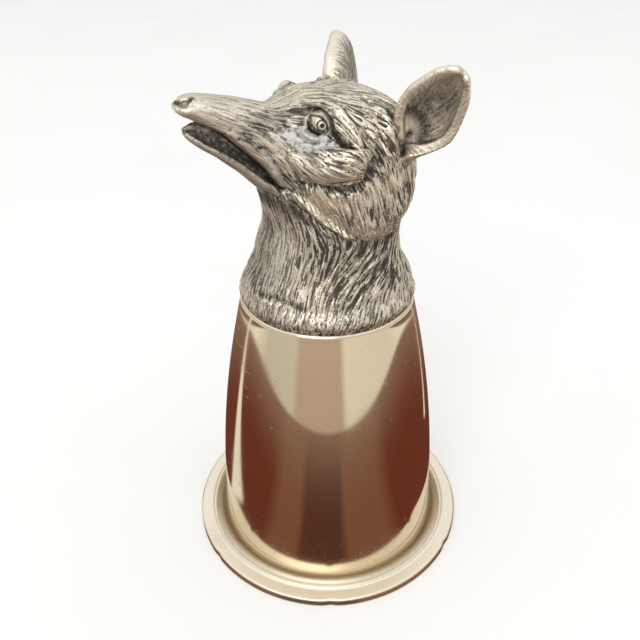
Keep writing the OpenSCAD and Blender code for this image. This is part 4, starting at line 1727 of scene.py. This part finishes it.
@dataclass
class Eyes:
    """Eye beads between slanted lids, with a rim around the iris and a drilled pupil, in millimetres."""

    radius: float = 3.0
    up_deg: float = 8.0
    front_deg: float = 18.0
    pupil_r: float = 0.45
    pupil_deep: float = 0.6
    ring_r: float = 1.2
    ring_w: float = 0.18
    ring_deep: float = 0.16
    slit_half: float = 2.5
    slit_open: float = 1.4
    slit_back: float = -0.6
    slit_up: float = 0.3
    lid: float = 0.3
    lid_edge: float = 0.16
    mottle: float = 1.3
    mottle_cell: float = 0.6
    segments: int = 144
    rows: int = 110
    seed: int = 23

    def outline(self) -> list:
        """Outline of a bead about its own axis, with the pupil at the top.

        Returns:
            Radius and height of its points.
        """
        points = []
        for turn in np.linspace(-90.0, 90.0, self.rows):
            r = self.radius * math.cos(math.radians(turn))
            z = self.radius * math.sin(math.radians(turn))
            if z > 0.0:
                drilled = 1.0 - smoothstep(self.pupil_r * 0.8, self.pupil_r * 1.2, np.array(r))
                z -= self.ring_deep * math.exp(-(((r - self.ring_r) / self.ring_w) ** 2))
                z -= self.pupil_deep * float(drilled)
            points.append((max(r, 0.0), z))
        return points

    def slit(self, back: Array, up: Array) -> tuple[Array, Array]:
        """How far points lie within the slanted slit between the lids.

        Args:
            back: places towards the back of the head, from the pupil.
            up: places upwards, from the pupil.

        Returns:
            A value above 0 in the slit, and the places across it, above 0 on the upper lid's side.
        """
        along = (back - self.slit_back - up + self.slit_up) / (math.sqrt(2.0) * self.slit_half)
        across = (back - self.slit_back + up - self.slit_up) / (math.sqrt(2.0) * self.slit_open)
        return 1.0 - along**2 - np.abs(across), across

    def bead(self, node: str, side: float) -> bpy.types.Object:
        """Builds one bead in its place.

        Args:
            node: the solid that it stands for.
            side: 1 on the fox's left and -1 on its right.

        Returns:
            The bead's object.
        """
        piece = turned(node + "_bead", self.outline(), self.segments, lambda co: co)
        up, front = math.radians(self.up_deg), math.radians(self.front_deg)
        axis = Vector((side * math.cos(up) * math.cos(front), -math.cos(up) * math.sin(front), math.sin(up)))
        upright = (Vector((0.0, 0.0, 1.0)) - axis.z * axis).normalized()
        turn = Matrix((upright.cross(axis), upright, axis)).transposed().to_4x4()
        co = np.array([v.co for v in piece.data.vertices]) / MM
        away = np.hypot(co[:, 0], co[:, 1])
        opening, across = self.slit(side * co[:, 0], co[:, 1])
        lid = np.where(co[:, 2] > 0.0, 1.0 - smoothstep(-0.15, 0.05, opening), 1.0)
        # edge and lower mark the slit's edge and the lower lid beside it, where shade is painted
        edge = np.exp(-((opening / self.lid_edge) ** 2))
        lower = lid * (1.0 - smoothstep(-1.1, -0.6, across)) * smoothstep(-1.6, -0.8, opening)
        pit = 1.0 - smoothstep(self.pupil_r * 0.9, self.pupil_r * 1.5, away)
        ring = np.exp(-(((away - self.ring_r) / (self.ring_w * 1.3)) ** 2))
        mottle = self.mottle * (Speckle(self.seed)(co / self.mottle_cell) - 0.5)
        values = {
            Grain.GROOVE: np.maximum(pit, ring) * (1.0 - lid),
            # painted shade along the slit's edge and below it; the lids darker and mottled
            Grain.HOLLOW: np.maximum(0.9 * edge, 0.9 * lower) + lid * (0.25 + mottle),
            Grain.WORN: np.full(len(co), 0.4),
            Grain.BOLD: np.zeros(len(co)),
            Grain.COOL: 0.8 * lid,
        }
        for grain, value in values.items():
            layer = piece.data.attributes.new(grain.value, "FLOAT", "POINT")
            layer.data.foreach_set("value", np.asarray(value, np.float32))
        swell = self.lid * lid * (1.0 - 1.3 * lower)
        co *= (1.0 + swell / self.radius)[:, None]
        piece.data.vertices.foreach_set("co", (co * MM).astype(np.float32).ravel())
        low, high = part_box(node)
        piece.data.transform(Matrix.Translation((low + high) / 2.0) @ turn)
        return piece

    def build(self) -> None:
        """Builds and finishes both beads."""
        material = EYE_METAL.material()
        for node, side in (("left_eye", 1.0), ("right_eye", -1.0)):
            dress(self.bead(node, side), Slot.EYE, material, node)


@dataclass
class Fixing:
    """Screw, plate and seal that hold the head on the cup."""

    def build(self) -> None:
        """Finishes the three pieces, whose solids already have their shape."""
        brass = TURNED_BRASS.material()
        seal = FIBRE_SEAL.material()
        for node, material in (("fixing_screw", brass), ("neck_plate", brass), ("sealing_washer", seal)):
            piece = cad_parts[node]
            piece.data.materials.clear()
            piece.data.materials.append(material)
            log.info("%s: keeps its solid", node)


@dataclass(frozen=True)
class Stage:
    """Pale floor, soft light and the brown card that the polished wall mirrors, in metres and degrees."""

    floor_r: float = 6.0
    rim_points: int = 96
    card_front: float = 0.165
    card_side: float = 0.29
    card_reach: float = 1.2
    card_lift: float = 0.0004
    horizon: Color = (0.55, 0.535, 0.51)
    zenith: Color = (1.08, 1.08, 1.08)
    zenith_at: float = 0.8
    box_side: float = 1.5
    box_reach: float = 2.2
    box_height: float = 40.0
    box_turn: float = -15.0
    box_watts: float = 16.0

    def disc(self, name: str, radius: float, lift: float) -> bpy.types.Object:
        """Lays a round sheet on the ground.

        Args:
            name: its name.
            radius: its radius.
            lift: its height.

        Returns:
            The sheet's object.
        """
        turns = np.linspace(0.0, 2.0 * math.pi, self.rim_points, endpoint=False)
        rim = [(radius * math.cos(t), radius * math.sin(t), 0.0) for t in turns]
        mesh = bpy.data.meshes.new(name)
        mesh.from_pydata(rim, [], [tuple(range(len(rim)))])
        mesh.update()
        made = new_object(name, mesh)
        made.location.z = lift
        return made

    def sky(self) -> None:
        """Soft light from all round, brighter above."""
        world = bpy.data.worlds.new("soft_light")
        bpy.context.scene.world = world
        world.use_nodes = True
        sketch = Sketch(world.node_tree)
        background = world.node_tree.nodes["Background"]
        way = sketch.node("SeparateXYZ")
        sketch.feed(way.inputs[0], sketch.node("TexCoord").outputs["Generated"])
        share = sketch.step(way.outputs["Z"], 0.0, self.zenith_at)
        sketch.feed(background.inputs["Color"], sketch.blend(share, rgba(self.horizon), rgba(self.zenith)))

    def softbox(self, facing: float) -> None:
        """Hangs one soft square lamp above the camera.

        Args:
            facing: the camera's azimuth in radians.
        """
        data = bpy.data.lights.new("softbox", "AREA")
        data.size = self.box_side
        data.energy = self.box_watts
        lamp = bpy.data.objects.new("softbox", data)
        bpy.context.scene.collection.objects.link(lamp)
        lamp.visible_camera = False
        tilt = Matrix.Rotation(math.radians(90.0 - self.box_height), 4, "X")
        turn = Matrix.Rotation(facing + math.radians(self.box_turn), 4, "Z")
        lamp.matrix_world = turn @ tilt @ Matrix.Translation((0.0, 0.0, self.box_reach))

    def build(self, facing: float) -> None:
        """Builds the floor, the card and the light.

        Args:
            facing: the camera's azimuth in radians.
        """
        floor = self.disc("floor", self.floor_r, 0.0)
        floor.data.materials.append(PALE_FLOOR.material())
        card = self.disc("brown_card", self.card_reach, self.card_lift)
        card.rotation_euler.z = facing
        card.data.materials.append(BROWN_CARD.material(self.card_side, self.card_front))
        card.visible_camera = False
        card.visible_diffuse = False
        card.visible_shadow = False
        self.sky()
        self.softbox(facing)
        log.info("stage: floor, card and light")


@dataclass(frozen=True)
class PhotoCamera:
    """Camera at the photograph's angle, in millimetres, degrees and pixels."""

    azimuth: float = 65.0
    reach: float = 167.9
    height: float = 178.7
    pitch: float = 31.7
    yaw: float = -0.72
    roll: float = -0.58
    focal_px: float = 650.0
    frame_px: float = 640.0
    sensor: float = 36.0
    clip: float = 5.0

    def build(self) -> None:
        """Places the camera and makes it the scene's."""
        data = bpy.data.cameras.new("photo_camera")
        data.sensor_fit = "HORIZONTAL"
        data.sensor_width = self.sensor
        data.lens = self.sensor * self.focal_px / self.frame_px
        data.clip_start = self.clip * MM
        made = bpy.data.objects.new("photo_camera", data)
        bpy.context.scene.collection.objects.link(made)
        turn = Matrix.Rotation(math.radians(self.azimuth), 4, "Z")
        away = Matrix.Translation((0.0, -self.reach * MM, self.height * MM))
        yaw = Matrix.Rotation(math.radians(-self.yaw), 4, "Z")
        pitch = Matrix.Rotation(math.radians(90.0 - self.pitch), 4, "X")
        roll = Matrix.Rotation(math.radians(self.roll), 4, "Z")
        made.matrix_world = turn @ away @ (yaw @ pitch) @ roll
        bpy.context.scene.camera = made
        log.info("camera at azimuth %.0f", self.azimuth)


def main() -> None:
    """Builds the stage and the pieces in order."""
    logging.basicConfig(level=logging.INFO, format="%(name)s: %(message)s")
    bpy.context.scene.view_settings.view_transform = "Standard"
    camera = PhotoCamera()
    camera.build()
    Stage().build(math.radians(camera.azimuth))
    Cup().build()
    Fixing().build()
    FoxHead().build()
    Eyes().build()


if __name__ == "__main__":
    main()
